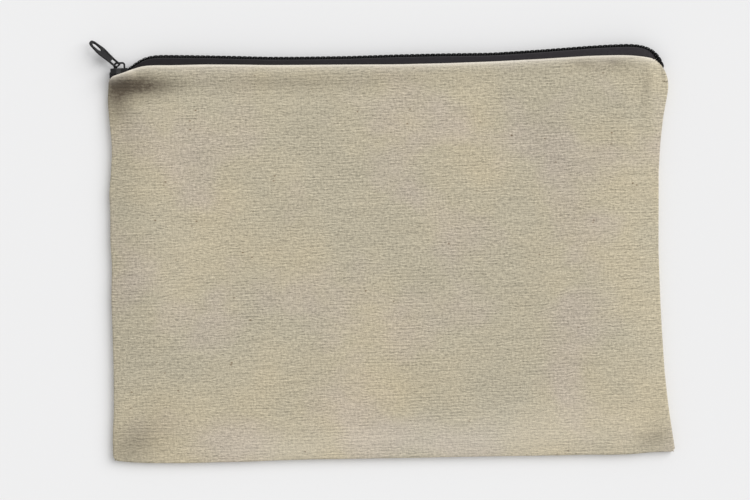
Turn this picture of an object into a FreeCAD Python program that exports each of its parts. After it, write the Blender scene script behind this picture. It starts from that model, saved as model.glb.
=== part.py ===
"""Flat canvas zip pouch, built as a parametric FreeCAD document and written out piece by piece.

Two canvas panels are sewn face to face along the left, right and bottom edges and turned, so each edge
is a pair of folds with the seam allowances inside.  A number 3 coil zip closes the top edge.
X runs along the zip, +Y points to the zip and +Z is the pouch's thickness.  The pouch lies on its back:
the origin is the centre of the back panel's flat underside.  All sizes are millimetres and degrees.
"""
import FreeCAD
import Part
import Sketcher
import os

SHEET_ROWS = [
    # canvas and outline
    ("canvas_thick", 0.8, "thickness of one ply of canvas"),
    ("fold_gap", 0.4, "air left inside a folded edge"),
    ("pouch_half", 127.7, "half the pouch's width along the zip"),
    ("bottom_reach", 91.2, "from the origin to the bottom edge, on the centre line"),
    ("bottom_slope", -0.9, "slant of the bottom edge"),
    ("side_allowance", 10, "width of the side and bottom seam allowances"),
    ("mouth_allowance", 10, "depth of the canvas folded in at the mouth"),
    ("crown_height", 9.2, "height of the front panel at the middle"),
    ("mouth_shelf", 14, "depth of the level strip behind the mouth"),
    ("corner_round", 3, "radius of the bottom corners"),
    ("fold_round", 0.35, "rounding of a folded canvas edge, as a share of its thickness"),
    ("low_section", 0.8, "place of the lowest rounded section, as a share of bottom_reach"),
    ("low_swell", 0.45, "share of the crown reached there"),
    ("belly_section", 0.45, "place of the next section, as a share of bottom_reach"),
    ("belly_swell", 0.9, "share of the crown reached there"),
    ("high_section", 0.5, "place of the section above the origin, as a share of the height to the zip"),
    ("side_swell", 0.4, "share of the rise towards the mouth reached by the sides there"),
    ("shelf_swell", 0.4, "share of the crown kept where the level strip begins"),
    # zip: the tapes and coils
    ("zip_mid_y", 90.8, "height up the page of the zip's tape plane, at x = 0"),
    ("zip_slope", 1.3, "slant of the zip"),
    ("tape_thick", 0.5, "thickness of the zip tape"),
    ("tape_edge", 1.05, "from the zip's centre line to the tape's edge"),
    ("tape_lip", 3.4, "from the zip's centre line to the outside of the tape's bend"),
    ("tape_turn", 1.6, "depth at which the tape turns in below the slider"),
    ("tape_inlet", 2.4, "depth at which the tape enters the mouth"),
    ("pocket_half", 1.3, "half the gap between the two tapes inside the mouth"),
    ("fold_drop", 2.65, "from the zip plane down to the canvas fold"),
    ("coil_inner", 0.5, "from the centre line to the coil's inner face"),
    ("coil_outer", 2.0, "from the centre line to the coil's outer face"),
    ("coil_rise", 1.4, "height of the coil above its tape"),
    ("coil_pitch", 1.2, "spacing of the coil's turns"),
    ("coil_spread", 0.65, "how far each coil moves outwards past the slider's post"),
    ("coil_meeting", 0.4, "from the slider's centre to the place where the coils meet"),
    ("coil_parting", 2.2, "length over which the coils part"),
    ("head_start", 0.8, "from the slider's centre to the first coupling head"),
    ("head_length", 0.45, "length of one coupling head along the zip"),
    ("head_reach", 0.4, "how far a head passes the centre line"),
    ("cord_size", 0.6, "filler cord inside the coil"),
    ("cord_play", 0.1, "difference between the cord and its channel"),
    ("stitch_width", 0.4, "width of the stitching on top of the coil"),
    ("stitch_sink", 0.2, "depth of the stitching in the coil"),
    # slider
    ("slider_inset", 7.9, "from the pouch's left side to the slider's centre when closed"),
    ("slider_length", 8, "length of the slider"),
    ("nose_half", 3.5, "half width of the top plate at the nose"),
    ("rear_half", 2.85, "half width of the top plate at the rear"),
    ("throat_half", 2.8, "half width between the flanges at the nose"),
    ("channel_half", 2.15, "half width between the flanges at the rear"),
    ("lower_nose_half", 2.75, "half width of the lower plate at the nose"),
    ("lower_rear_half", 2.6, "half width of the lower plate at the rear"),
    ("nose_chamfer", 0.5, "cut corner at the nose"),
    ("wide_length", 2.8, "from the nose to the end of the plates' wide part"),
    ("waist_length", 4.8, "from the nose to the start of their narrow part"),
    ("throat_length", 3.0, "from the nose to the end of the channel's wide part"),
    ("channel_from", 5.2, "from the nose to the start of its narrow part"),
    ("flange_margin", 0.1, "from the top plate's edge to the flanges' outer faces"),
    ("plate_corner_round", 0.35, "rounding of the plates' corners"),
    ("top_rim_round", 0.3, "rounding of the top plate's rim"),
    ("lower_rim_round", 0.25, "rounding of the lower plate's rim"),
    ("top_plate_thick", 1.1, "thickness of the top plate"),
    ("lower_plate_thick", 1.0, "thickness of the lower plate"),
    ("slider_play", 0.1, "clearance between the slider and what runs through it"),
    ("post_half", 0.9, "half width of the post that parts the coils"),
    ("post_front", 0.5, "from the nose to the front of the post"),
    ("post_front_half", 0.3, "half width of the post there"),
    ("post_wide_from", 1.3, "from the nose to the start of the post's full width"),
    ("post_wide_to", 2.2, "from the nose to the end of that width"),
    ("post_tail", 4.3, "from the nose to the tail of the post"),
    ("post_tail_half", 0.15, "half width of the post there"),
    ("bail_half", 2.65, "half length of the loop on the slider"),
    ("bail_wire", 0.8, "thickness of the loop"),
    ("bail_opening", 2.2, "height of the gap under the loop"),
    ("bail_round", 1.3, "rounding of the loop's shoulders"),
    ("bail_inner_round", 0.6, "rounding of the gap's shoulders"),
    # pull tab
    ("tab_length", 16.9, "from the tab's cross bar to its tip"),
    ("tab_thick", 1.0, "thickness of the tab"),
    ("tab_root_half", 2.0, "half width of the tab at its root"),
    ("root_reach", 0.5, "from the cross bar's centre to the tab's root end"),
    ("root_chamfer", 1.2, "cut corner at the tab's root"),
    ("tab_belly_half", 2.7, "half width of the tab where it is widest"),
    ("tab_tip_half", 1.9, "half width of the tab near its tip"),
    ("tab_belly_at", 9.6, "distance of the widest place from the cross bar"),
    ("tab_belly_length", 1, "length of the widest place"),
    ("tip_taper", 1.6, "length of the narrowing tip"),
    ("tip_corner", 0.5, "length of the last part of it"),
    ("tip_corner_half", 1.35, "half width where that part begins"),
    ("tip_end_half", 0.6, "half width of the tip's end"),
    ("tab_rim_round", 0.25, "rounding of the tab's rim"),
    ("cross_bar_radius", 0.4, "radius of the cross bar held by the loop"),
    ("root_slot_half", 1.45, "half width of the slot round the loop"),
    ("root_slot_end", 3.9, "far end of that slot"),
    ("grip_slot_start", 10.2, "near end of the long slot"),
    ("grip_slot_end", 15.6, "far end of the long slot"),
    ("grip_slot_half", 1.3, "half width of the long slot"),
    ("grip_slot_round", 1.2, "length of its narrowing ends"),
    ("grip_slot_end_half", 0.5, "half width at its ends"),
    ("recess_start", 4.8, "near end of the sunk grip panel"),
    ("recess_end", 9.3, "far end of the sunk grip panel"),
    ("recess_depth", 0.2, "depth of the grip panel on each face"),
    ("recess_start_half", 1.3, "half width of the panel at its near end"),
    ("recess_end_half", 1.8, "half width of the panel at its far end"),
    ("tab_bar_place", -0.7, "cross bar's place along the slider, from its centre"),
    ("tab_bar_lift", 1.34, "cross bar's height above the top plate"),
    ("tab_heading", 137, "direction of the tab, turned from +X about +Z"),
    ("tab_rise", 5, "tilt of the tab's tip off the table"),
    ("tab_twist", 39, "turn of the tab about its own length"),
    # thread
    ("thread_thick", 0.3, "thickness of the sewing thread"),
    ("stitch_length", 2.5, "length of one stitch"),
    ("seam_inset", 1.8, "from the folded edge to the line of stitches"),
    ("seam_end", 4, "from a corner to the end of the stitches"),
    ("seam_stop", 1.5, "from the raw edge at the mouth to the end of the side allowances"),
    ("overlock_thick", 0.25, "thickness of the thread that binds a raw edge"),
    ("overlock_reach", 4, "width of the binding"),
]

doc = FreeCAD.newDocument("zip_pouch")
dims = doc.addObject("Spreadsheet::Sheet", "dims")
for row, (alias, number, meaning) in enumerate(SHEET_ROWS, start=1):
    dims.set("A%d" % row, meaning)
    dims.set("B%d" % row, str(number))
    dims.setAlias("B%d" % row, alias)
doc.recompute()

# Sizes that follow from the sheet, written as expressions for the document to work out.
HEM = "(2 * dims.canvas_thick + dims.fold_gap)"
CHAIN_Z = "(%s + dims.tape_thick + dims.pocket_half)" % HEM
MOUTH_TOP = "(2 * %s)" % CHAIN_Z
HALF_TAPE = "(dims.tape_thick / 2)"
COIL_TOP = "(%s + dims.coil_rise)" % HALF_TAPE
FOLD_MID = "(dims.zip_mid_y - dims.fold_drop)"
RAW_MID = "(%s - dims.mouth_allowance)" % FOLD_MID
SEAM_TOP_MID = "(%s - dims.seam_stop)" % RAW_MID
INSIDE_HALF = "(dims.pouch_half - dims.canvas_thick)"
TAPE_HALF = "(%s - 2 * dims.slider_play)" % INSIDE_HALF
FOLD_ROUND = "(dims.fold_round * %s)" % HEM
SLIDER_PLACE = "(dims.slider_inset - dims.pouch_half)"

SAME = 1e-3  # lengths that differ by less are the same
NOTHING = 1e-6  # volumes and lengths under this count as none
ALONG = 0.9  # least share of an edge's direction for it to run along an axis


def value(expression):
    """Number that an expression has at the sheet's present sizes."""
    result = dims.evalExpression(expression.replace("dims.", ""))
    return float(getattr(result, "Value", result))


def on_bottom(x_expression):
    """Y of the bottom edge at a given x."""
    return "(-dims.bottom_reach + (%s) * tan(dims.bottom_slope))" % x_expression


def on_zip(middle, x_expression):
    """Y at a given x of a line that runs beside the zip and crosses x = 0 at a given y."""
    return "(%s + (%s) * tan(dims.zip_slope))" % (middle, x_expression)


def new_body(label):
    """Empty PartDesign body for one piece of the pouch."""
    body = doc.addObject("PartDesign::Body", label)
    body.Label = label
    return body


def attach(sketch, body, role, offset, turn=None):
    """Fix a sketch to one of its body's own planes, moved along the plane's normal and perhaps turned."""
    plane = [item for item in body.Origin.OriginFeatures if item.Role == role][0]
    sketch.AttachmentSupport = [(plane, "")]
    sketch.MapMode = "FlatFace"
    if turn is not None:
        sketch.AttachmentOffset = FreeCAD.Placement(FreeCAD.Vector(), FreeCAD.Vector(0, 1, 0), value(turn))
        sketch.setExpression(".AttachmentOffset.Rotation.Angle", turn)
    sketch.setExpression(".AttachmentOffset.Base.z", offset)


def pin(sketch, element, position, across, along):
    """Hold one point of a sketch at two driving distances from its origin."""
    for kind, expression in (("DistanceX", across), ("DistanceY", along)):
        constraint = Sketcher.Constraint(kind, -1, 1, element, position, value(expression))
        index = sketch.addConstraint(constraint)
        sketch.setExpression("Constraints[%d]" % index, expression)


def polygon(body, name, role, corners, offset="0", turn=None):
    """Closed sketch of straight lines through corners given as pairs of expressions."""
    sketch = body.newObject("Sketcher::SketchObject", name)
    attach(sketch, body, role, offset, turn)
    spots = [FreeCAD.Vector(value(across), value(along), 0) for across, along in corners]
    count = len(spots)
    for index in range(count):
        sketch.addGeometry(Part.LineSegment(spots[index], spots[(index + 1) % count]))
    for index in range(count):
        sketch.addConstraint(Sketcher.Constraint("Coincident", index, 2, (index + 1) % count, 1))
    for index, (across, along) in enumerate(corners):
        pin(sketch, index, 1, across, along)
    return sketch


def rectangle(body, name, role, left, right, low, high, offset="0"):
    """Rectangular sketch between four expressions."""
    return polygon(body, name, role, [(left, low), (right, low), (right, high), (left, high)], offset)


def circle(body, name, role, across, along, radius, offset="0"):
    """Circular sketch."""
    sketch = body.newObject("Sketcher::SketchObject", name)
    attach(sketch, body, role, offset)
    centre = FreeCAD.Vector(value(across), value(along), 0)
    sketch.addGeometry(Part.Circle(centre, FreeCAD.Vector(0, 0, 1), value(radius)))
    pin(sketch, 0, 3, across, along)
    index = sketch.addConstraint(Sketcher.Constraint("Radius", 0, value(radius)))
    sketch.setExpression("Constraints[%d]" % index, radius)
    return sketch


def pad(body, sketch, length, reverse=False, centred=False):
    """Add a sketch's outline, pulled out along its normal."""
    feature = body.newObject("PartDesign::Pad", sketch.Name + "_pad")
    feature.Profile = sketch
    feature.setExpression("Length", length)
    feature.Reversed = reverse
    if centred:
        feature.SideType = "Symmetric"
    doc.recompute()
    return feature


def pocket(body, sketch, length, reverse=False, centred=False):
    """Cut a sketch's outline away, and make sure that something was cut."""
    before = body.Shape.Volume
    feature = body.newObject("PartDesign::Pocket", sketch.Name + "_cut")
    feature.Profile = sketch
    feature.setExpression("Length", length)
    feature.Reversed = reverse
    if centred:
        feature.SideType = "Symmetric"
    doc.recompute()
    if not body.Shape.Volume < before - NOTHING:
        raise RuntimeError("%s cuts nothing" % feature.Name)
    return feature


def repeat(body, feature, sketch, axis, spacing, count):
    """Repeat a feature along an axis of its sketch."""
    pattern = body.newObject("PartDesign::LinearPattern", feature.Name + "_row")
    pattern.Originals = [feature]
    pattern.Direction = (sketch, [axis])
    pattern.Mode = "Spacing"
    pattern.setExpression("Offset", spacing)
    pattern.setExpression("Occurrences", count)
    pattern.Refine = False
    body.Tip = pattern
    doc.recompute()
    return pattern


def round_edges(body, name, radius, wanted):
    """Fillet the edges of the body's last feature whose middle point and direction pass a test."""
    base = body.Tip
    picked = []
    for number, edge in enumerate(base.Shape.Edges, start=1):
        middle = edge.valueAt((edge.FirstParameter + edge.LastParameter) / 2)
        run = edge.lastVertex().Point - edge.firstVertex().Point
        if run.Length > NOTHING and wanted(middle, run.normalize()):
            picked.append("Edge%d" % number)
    if not picked:
        raise RuntimeError("%s: no edge to round" % name)
    feature = body.newObject("PartDesign::Fillet", name)
    feature.Base = (base, picked)
    feature.setExpression("Radius", radius)
    doc.recompute()
    return feature


def place(body, x="0", y="0", z="0", angle="0"):
    """Put a body in the pouch's frame, turned about +Z."""
    body.Placement = FreeCAD.Placement(FreeCAD.Vector(), FreeCAD.Vector(0, 0, 1), 1)
    body.setExpression(".Placement.Rotation.Angle", angle)
    body.setExpression(".Placement.Base.x", x)
    body.setExpression(".Placement.Base.y", y)
    body.setExpression(".Placement.Base.z", z)


def near(first, second):
    """True where two lengths agree."""
    return abs(first - second) < SAME


# --- canvas panels ---------------------------------------------------------------------------------

def panel_section(body, name, y, turn, inset, low, edge, crown):
    """Cross-section of the front panel: straight floor and sides under a flat or arched top."""
    half = "(dims.pouch_half - %s)" % inset
    sketch = body.newObject("Sketcher::SketchObject", name)
    attach(sketch, body, "XZ_Plane", "-(%s)" % y, turn)
    left = -value(half)
    right = value(half)
    floor = value(low)
    shoulder = value(edge)
    corners = [(left, floor), (right, floor), (right, shoulder), (left, shoulder)]
    spots = [FreeCAD.Vector(across, along, 0) for across, along in corners]
    sketch.addGeometry(Part.LineSegment(spots[0], spots[1]))
    sketch.addGeometry(Part.LineSegment(spots[1], spots[2]))
    if crown is None:
        sketch.addGeometry(Part.LineSegment(spots[2], spots[3]))
    else:
        top = FreeCAD.Vector(0, value(crown), 0)
        sketch.addGeometry(Part.Arc(spots[2], top, spots[3]))
    sketch.addGeometry(Part.LineSegment(spots[3], spots[0]))
    sketch.addConstraint(Sketcher.Constraint("Coincident", 0, 2, 1, 1))
    sketch.addConstraint(Sketcher.Constraint("Coincident", 1, 2, 2, 1))
    sketch.addConstraint(Sketcher.Constraint("Coincident", 2, 2, 3, 1))
    sketch.addConstraint(Sketcher.Constraint("Coincident", 3, 2, 0, 1))
    pin(sketch, 0, 1, "-" + half, low)
    pin(sketch, 1, 1, half, low)
    pin(sketch, 2, 1, half, edge)
    pin(sketch, 3, 1, "-" + half, edge)
    if crown is not None:
        sketch.addGeometry(Part.Point(FreeCAD.Vector(0, value(crown), 0)), True)
        sketch.addConstraint(Sketcher.Constraint("PointOnObject", 4, 1, 2))
        pin(sketch, 4, 1, "0", crown)
    return sketch


def loft(body, kind, name, sections):
    """Straight-ruled loft through a list of sections, added or cut away."""
    feature = body.newObject(kind, name)
    feature.Profile = sections[0]
    feature.Sections = sections[1:]
    feature.Ruled = True
    doc.recompute()
    return feature


def front_panel():
    """Front canvas: crowned ply, three folded edges with their allowances, and the folded mouth."""
    body = new_body("front_panel")
    edge = "(2 * %s)" % HEM
    crown = "dims.crown_height"
    ply = "dims.canvas_thick"
    slope = "dims.zip_slope"
    low_crown = "(%s + (%s - %s) * dims.low_swell)" % (edge, crown, edge)
    belly_crown = "(%s + (%s - %s) * dims.belly_swell)" % (edge, crown, edge)
    shelf_height = "(%s + (%s - %s) * dims.shelf_swell)" % (MOUTH_TOP, crown, MOUTH_TOP)
    side_height = "(%s + (%s - %s) * dims.side_swell)" % (edge, MOUTH_TOP, edge)
    # station: y, turn, height at the sides, height at the middle
    stations = [
        ("-dims.bottom_reach", "dims.bottom_slope", edge, None),
        ("-dims.bottom_reach * dims.low_section", "dims.bottom_slope", edge, low_crown),
        ("-dims.bottom_reach * dims.belly_section", "0", edge, belly_crown),
        ("0", "0", edge, crown),
        ("%s * dims.high_section" % FOLD_MID, slope, side_height, crown),
        ("%s - dims.mouth_shelf" % FOLD_MID, slope, MOUTH_TOP, shelf_height),
        (FOLD_MID, slope, MOUTH_TOP, None),
    ]
    last = len(stations) - 1
    inner_floor = "(%s + %s)" % (HEM, ply)
    outer = []
    inner = []
    for number, (y, turn, side, top) in enumerate(stations):
        outer.append(panel_section(body, "outside_%d" % number, y, turn, "0", HEM, side, top))
        if number == 0:
            y = "(%s + %s)" % (y, ply)
        if number == last:
            y = "(%s - %s)" % (y, ply)
        side = "(%s - %s)" % (side, ply)
        top = None if top is None else "(%s - %s)" % (top, ply)
        inner.append(panel_section(body, "inside_%d" % number, y, turn, ply, inner_floor, side, top))
    loft(body, "PartDesign::AdditiveLoft", "outside", outer)
    loft(body, "PartDesign::SubtractiveLoft", "inside", inner)

    # The allowances leave the middle open, and stop short of the tapes at the mouth.
    allowed = "(dims.pouch_half - dims.side_allowance)"
    rim = "dims.side_allowance"
    opening = polygon(body, "allowance_opening", "XY_Plane", [
        ("-" + allowed, "%s + %s" % (on_bottom("-" + allowed), rim)),
        (allowed, "%s + %s" % (on_bottom(allowed), rim)),
        (allowed, on_zip(SEAM_TOP_MID, allowed)),
        (INSIDE_HALF, on_zip(SEAM_TOP_MID, INSIDE_HALF)),
        (INSIDE_HALF, "%s + %s" % (on_zip(FOLD_MID, INSIDE_HALF), rim)),
        ("-" + INSIDE_HALF, "%s + %s" % (on_zip(FOLD_MID, "-" + INSIDE_HALF), rim)),
        ("-" + INSIDE_HALF, on_zip(SEAM_TOP_MID, "-" + INSIDE_HALF)),
        ("-" + allowed, on_zip(SEAM_TOP_MID, "-" + allowed)),
    ], offset=inner_floor)
    pocket(body, opening, ply)

    # The tapes pass out under the fold.
    lip = "(%s - %s)" % (MOUTH_TOP, HEM)
    mouth = rectangle(body, "mouth_opening", "XZ_Plane", "-" + INSIDE_HALF, INSIDE_HALF, HEM, lip,
                      offset="-(%s + %s)" % (FOLD_MID, rim))
    pocket(body, mouth, "2 * %s" % rim, reverse=True)

    fold_mid = "(%s - %s / 2)" % (FOLD_MID, ply)
    turned_in = polygon(body, "mouth_allowance", "XY_Plane", [
        ("-" + INSIDE_HALF, on_zip(RAW_MID, "-" + INSIDE_HALF)),
        (INSIDE_HALF, on_zip(RAW_MID, INSIDE_HALF)),
        (INSIDE_HALF, on_zip(fold_mid, INSIDE_HALF)),
        ("-" + INSIDE_HALF, on_zip(fold_mid, "-" + INSIDE_HALF)),
    ], offset=lip)
    pad(body, turned_in, ply)
    side = value("dims.pouch_half - %s / 2" % ply)
    bottom = -value("dims.bottom_reach - dims.side_allowance")
    round_edges(body, "corners", "dims.corner_round", lambda middle, run: (
        near(abs(run.z), 1) and abs(middle.x) > side and middle.y < bottom))
    floor = value(HEM)
    mouth_top = value(MOUTH_TOP)
    mouth_y = value("%s - dims.mouth_shelf / 2" % FOLD_MID)
    round_edges(body, "lower_folds", FOLD_ROUND, lambda middle, run: (
        near(middle.z, floor) and (abs(middle.x) > side or middle.y < bottom)))
    round_edges(body, "mouth_fold", FOLD_ROUND, lambda middle, run: (
        near(middle.z, mouth_top) and middle.y > mouth_y and abs(run.x) > ALONG))
    return body


def back_panel():
    """Back canvas: flat ply on the table with its four edges folded in above it."""
    body = new_body("back_panel")
    ply = "dims.canvas_thick"

    def frame(name, side, bottom, mouth, offset):
        """Outline of the panel drawn in by a margin at the sides, the bottom and the mouth."""
        half = "(dims.pouch_half - %s)" % side
        return polygon(body, name, "XY_Plane", [
            ("-" + half, "%s + %s" % (on_bottom("-" + half), bottom)),
            (half, "%s + %s" % (on_bottom(half), bottom)),
            (half, "%s - %s" % (on_zip(FOLD_MID, half), mouth)),
            ("-" + half, "%s - %s" % (on_zip(FOLD_MID, "-" + half), mouth)),
        ], offset)

    pad(body, frame("outline", "0", "0", "0", "0"), HEM)
    round_edges(body, "corners", "dims.corner_round",
                lambda middle, run: near(abs(run.z), 1) and middle.y < 0)
    gap = frame("fold_gap", ply, ply, ply, "%s - %s" % (HEM, ply))
    pocket(body, gap, "dims.fold_gap")
    opening = frame("allowance_opening", "dims.side_allowance", "dims.side_allowance",
                    "dims.mouth_allowance", HEM)
    pocket(body, opening, ply)
    top = value(HEM)
    open_half = value("dims.pouch_half - dims.side_allowance / 2")
    bottom = -value("dims.bottom_reach - dims.side_allowance / 2")
    mouth_y = value("%s - dims.mouth_allowance / 2" % FOLD_MID)
    round_edges(body, "folds", FOLD_ROUND, lambda middle, run: near(middle.z, 0) or (
        near(middle.z, top) and (abs(middle.x) > open_half or middle.y < bottom or middle.y > mouth_y)))
    return body


# --- sewing ------------------------------------------------------------------------------------------

def seam_thread(label, length, low, high):
    """Line of lock stitches along local X: a run on each face of the cloth and a leg at each stitch."""
    body = new_body(label)
    thread = "dims.thread_thick"
    half = "(%s / 2)" % length
    blank = rectangle(body, "outline", "XZ_Plane", "-" + half, half, "%s - %s" % (low, thread),
                      "%s + %s" % (high, thread))
    pad(body, blank, thread, centred=True)
    start = "(-%s + %s)" % (half, thread)
    window = rectangle(body, "stitch", "XZ_Plane", start, "%s + dims.stitch_length - %s" % (start, thread),
                       low, high)
    cut = pocket(body, window, "2 * %s" % thread, centred=True)
    repeat(body, cut, window, "H_Axis", "dims.stitch_length",
           "floor((%s - %s) / dims.stitch_length)" % (length, thread))
    return body


def overlock(label, length, low, high):
    """Binding thread along local X, wrapped round a raw edge that faces local +Y."""
    body = new_body(label)
    wall = "dims.overlock_thick"
    reach = "-dims.overlock_reach"
    under = "%s - %s" % (low, wall)
    over = "%s + %s" % (high, wall)
    profile = polygon(body, "wrap", "YZ_Plane", [
        (reach, under), (wall, under), (wall, over), (reach, over),
        (reach, high), ("0", high), ("0", low), (reach, low),
    ])
    pad(body, profile, length, centred=True)
    return body


def side_sewing():
    """Seam thread and overlock along the left, right and bottom edges."""
    low = "(%s - dims.canvas_thick)" % HEM
    high = "(%s + dims.canvas_thick)" % HEM
    raw = "(dims.pouch_half - dims.side_allowance)"
    line = "(dims.pouch_half - dims.seam_inset)"
    for side, sign, turn in (("left", "-", "-90"), ("right", "", "90")):
        for name, across, maker in (("seam_thread", line, seam_thread), ("overlock", raw, overlock)):
            end = on_zip(SEAM_TOP_MID, sign + across)
            start = "(%s + dims.seam_end)" % on_bottom(sign + across)
            if name == "overlock":
                start = "(%s + dims.side_allowance + dims.thread_thick)" % on_bottom(sign + across)
            body = maker("%s_%s" % (side, name), "(%s - %s - dims.thread_thick)" % (end, start), low, high)
            place(body, sign + across, "(%s + %s - dims.thread_thick) / 2" % (end, start), "0", turn)
    seam = seam_thread("bottom_seam_thread", "(2 * (%s - dims.seam_end))" % line, low, high)
    place(seam, "0", "-dims.bottom_reach + dims.seam_inset", "0", "dims.bottom_slope")
    bound = overlock("bottom_overlock", "(2 * (%s - dims.overlock_reach))" % raw, low, high)
    place(bound, "0", "-dims.bottom_reach + dims.side_allowance", "0", "dims.bottom_slope")


def mouth_sewing():
    """Thread that holds each tape to its canvas, and the overlock that binds the two together."""
    cloth = "(dims.canvas_thick + dims.tape_thick)"
    bound_length = "(2 * (dims.pouch_half - dims.side_allowance - dims.thread_thick))"
    for side, low in (("front", "(%s + dims.pocket_half)" % CHAIN_Z),
                      ("back", "(%s - dims.canvas_thick)" % HEM)):
        high = "(%s + %s)" % (low, cloth)
        seam = seam_thread("%s_mouth_thread" % side, "(2 * (%s - dims.seam_end))" % INSIDE_HALF, low, high)
        place(seam, "0", "%s - dims.seam_inset" % FOLD_MID, "0", "dims.zip_slope")
        bound = overlock("%s_mouth_overlock" % side, bound_length, low, high)
        place(bound, "0", RAW_MID, "0", "180 + dims.zip_slope")


# --- zip -----------------------------------------------------------------------------------------------
# These bodies lie along local X, with local +Y out of the zip and local Z across it.

def on_zip_plane(body):
    """Put a piece of the zip on the line that the slider runs along."""
    place(body, "0", "dims.zip_mid_y", CHAIN_Z, "dims.zip_slope")


def zip_tape(label, sign):
    """Woven tape: level at the coil, bent down beside the slider and turned in to the canvas."""
    body = new_body(label)
    half = HALF_TAPE
    lip = "dims.tape_lip"
    thick = "dims.tape_thick"
    pocket_in = "dims.pocket_half"
    sewn = "-(dims.fold_drop + dims.mouth_allowance) * cos(dims.zip_slope)"

    def across(distance):
        return "%s(%s)" % (sign, distance)

    profile = polygon(body, "bends", "YZ_Plane", [
        (half, across("dims.tape_edge")),
        (half, across(lip)),
        ("-dims.tape_turn - %s" % half, across(lip)),
        ("-dims.tape_inlet - %s" % half, across("%s + %s" % (pocket_in, thick))),
        (sewn, across("%s + %s" % (pocket_in, thick))),
        (sewn, across(pocket_in)),
        ("-dims.tape_inlet", across(pocket_in)),
        ("-dims.tape_turn", across("%s - %s" % (lip, thick))),
        ("-" + half, across("%s - %s" % (lip, thick))),
        ("-" + half, across("dims.tape_edge")),
    ])
    pad(body, profile, "2 * %s" % TAPE_HALF, centred=True)
    on_zip_plane(body)
    return body


def coil_strip(body, name, sign, inner, outer, height):
    """Plan of a strip of one coil between two distances from the centre line.

    It is straight where the zip is closed, and moves outwards round the slider's post at the closed end.
    """
    closed = "(%s + dims.coil_meeting)" % SLIDER_PLACE
    parted = "(%s - dims.coil_parting)" % closed
    spread = "dims.coil_spread"
    return polygon(body, name, "XZ_Plane", [
        (TAPE_HALF, "%s(%s)" % (sign, inner)),
        (TAPE_HALF, "%s(%s)" % (sign, outer)),
        (closed, "%s(%s)" % (sign, outer)),
        (parted, "%s(%s + %s)" % (sign, outer, spread)),
        ("-" + TAPE_HALF, "%s(%s + %s)" % (sign, outer, spread)),
        ("-" + TAPE_HALF, "%s(%s + %s)" % (sign, inner, spread)),
        (parted, "%s(%s + %s)" % (sign, inner, spread)),
        (closed, "%s(%s)" % (sign, inner)),
    ], offset="-(%s)" % height)


def coil_middle(shift):
    """Distance from the centre line to a line beside the middle of the coil."""
    return "(dims.coil_inner + dims.coil_outer) / 2 + %s" % shift


def coil(label, sign, phase):
    """Coil on one tape: a rail with a row of coupling heads, a channel for the cord and a stitch groove."""
    body = new_body(label)
    rail = coil_strip(body, "rail", sign, "dims.coil_inner", "dims.coil_outer", HALF_TAPE)
    pad(body, rail, "dims.coil_rise", reverse=True)

    channel = "((dims.cord_size + dims.cord_play) / 2)"
    bore_low = "(%s + (dims.coil_rise - dims.cord_size - dims.cord_play) / 2)" % HALF_TAPE
    bore = coil_strip(body, "cord_channel", sign, coil_middle("-" + channel), coil_middle(channel), bore_low)
    pocket(body, bore, "dims.cord_size + dims.cord_play")

    groove = coil_strip(body, "stitch_groove", sign, coil_middle("- dims.stitch_width / 2"),
                        coil_middle("dims.stitch_width / 2"), "%s - dims.stitch_sink" % COIL_TOP)
    pocket(body, groove, "dims.stitch_sink")

    first = "(%s + dims.head_start + %s * dims.coil_pitch)" % (SLIDER_PLACE, phase)
    last = "%s + dims.head_length" % first
    tip = "%s(-dims.head_reach)" % sign
    root = "%s(dims.coil_inner)" % sign
    head = rectangle(body, "head", "XZ_Plane", first, last, tip, root, offset="-" + HALF_TAPE)
    teeth = pad(body, head, "dims.coil_rise", reverse=True)
    repeat(body, teeth, head, "H_Axis", "dims.coil_pitch",
           "floor((%s - (%s)) / dims.coil_pitch)" % (TAPE_HALF, last))
    on_zip_plane(body)
    return body


def filler_cord(label, sign):
    """Cord inside one coil, which the sewing thread holds down."""
    body = new_body(label)
    half = "(dims.cord_size / 2)"
    low = "(%s + (dims.coil_rise - dims.cord_size) / 2)" % HALF_TAPE
    strip = coil_strip(body, "cord", sign, coil_middle("-" + half), coil_middle(half), low)
    pad(body, strip, "dims.cord_size", reverse=True)
    on_zip_plane(body)
    return body


def coil_stitching(label, sign):
    """Row of stitches along the top of one coil."""
    body = new_body(label)
    strip = coil_strip(body, "stitches", sign, coil_middle("- dims.stitch_width / 2"),
                       coil_middle("dims.stitch_width / 2"), "%s - dims.stitch_sink" % COIL_TOP)
    pad(body, strip, "dims.stitch_sink", reverse=True)
    on_zip_plane(body)
    return body


# --- slider and pull tab -----------------------------------------------------------------------------
# The slider is drawn about its own centre: local X runs to its rear, local Y out of the zip, local Z across.

PLATE_LOW = "(%s + dims.slider_play)" % COIL_TOP
PLATE_TOP = "(%s + dims.top_plate_thick)" % PLATE_LOW
LOWER_TOP = "(%s + dims.slider_play)" % HALF_TAPE


def mirrored(points):
    """Closed outline made of points on the +Z side and the same points on the other side."""
    other = [(across, "-(%s)" % along) for across, along in reversed(points)]
    return points + other


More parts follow.
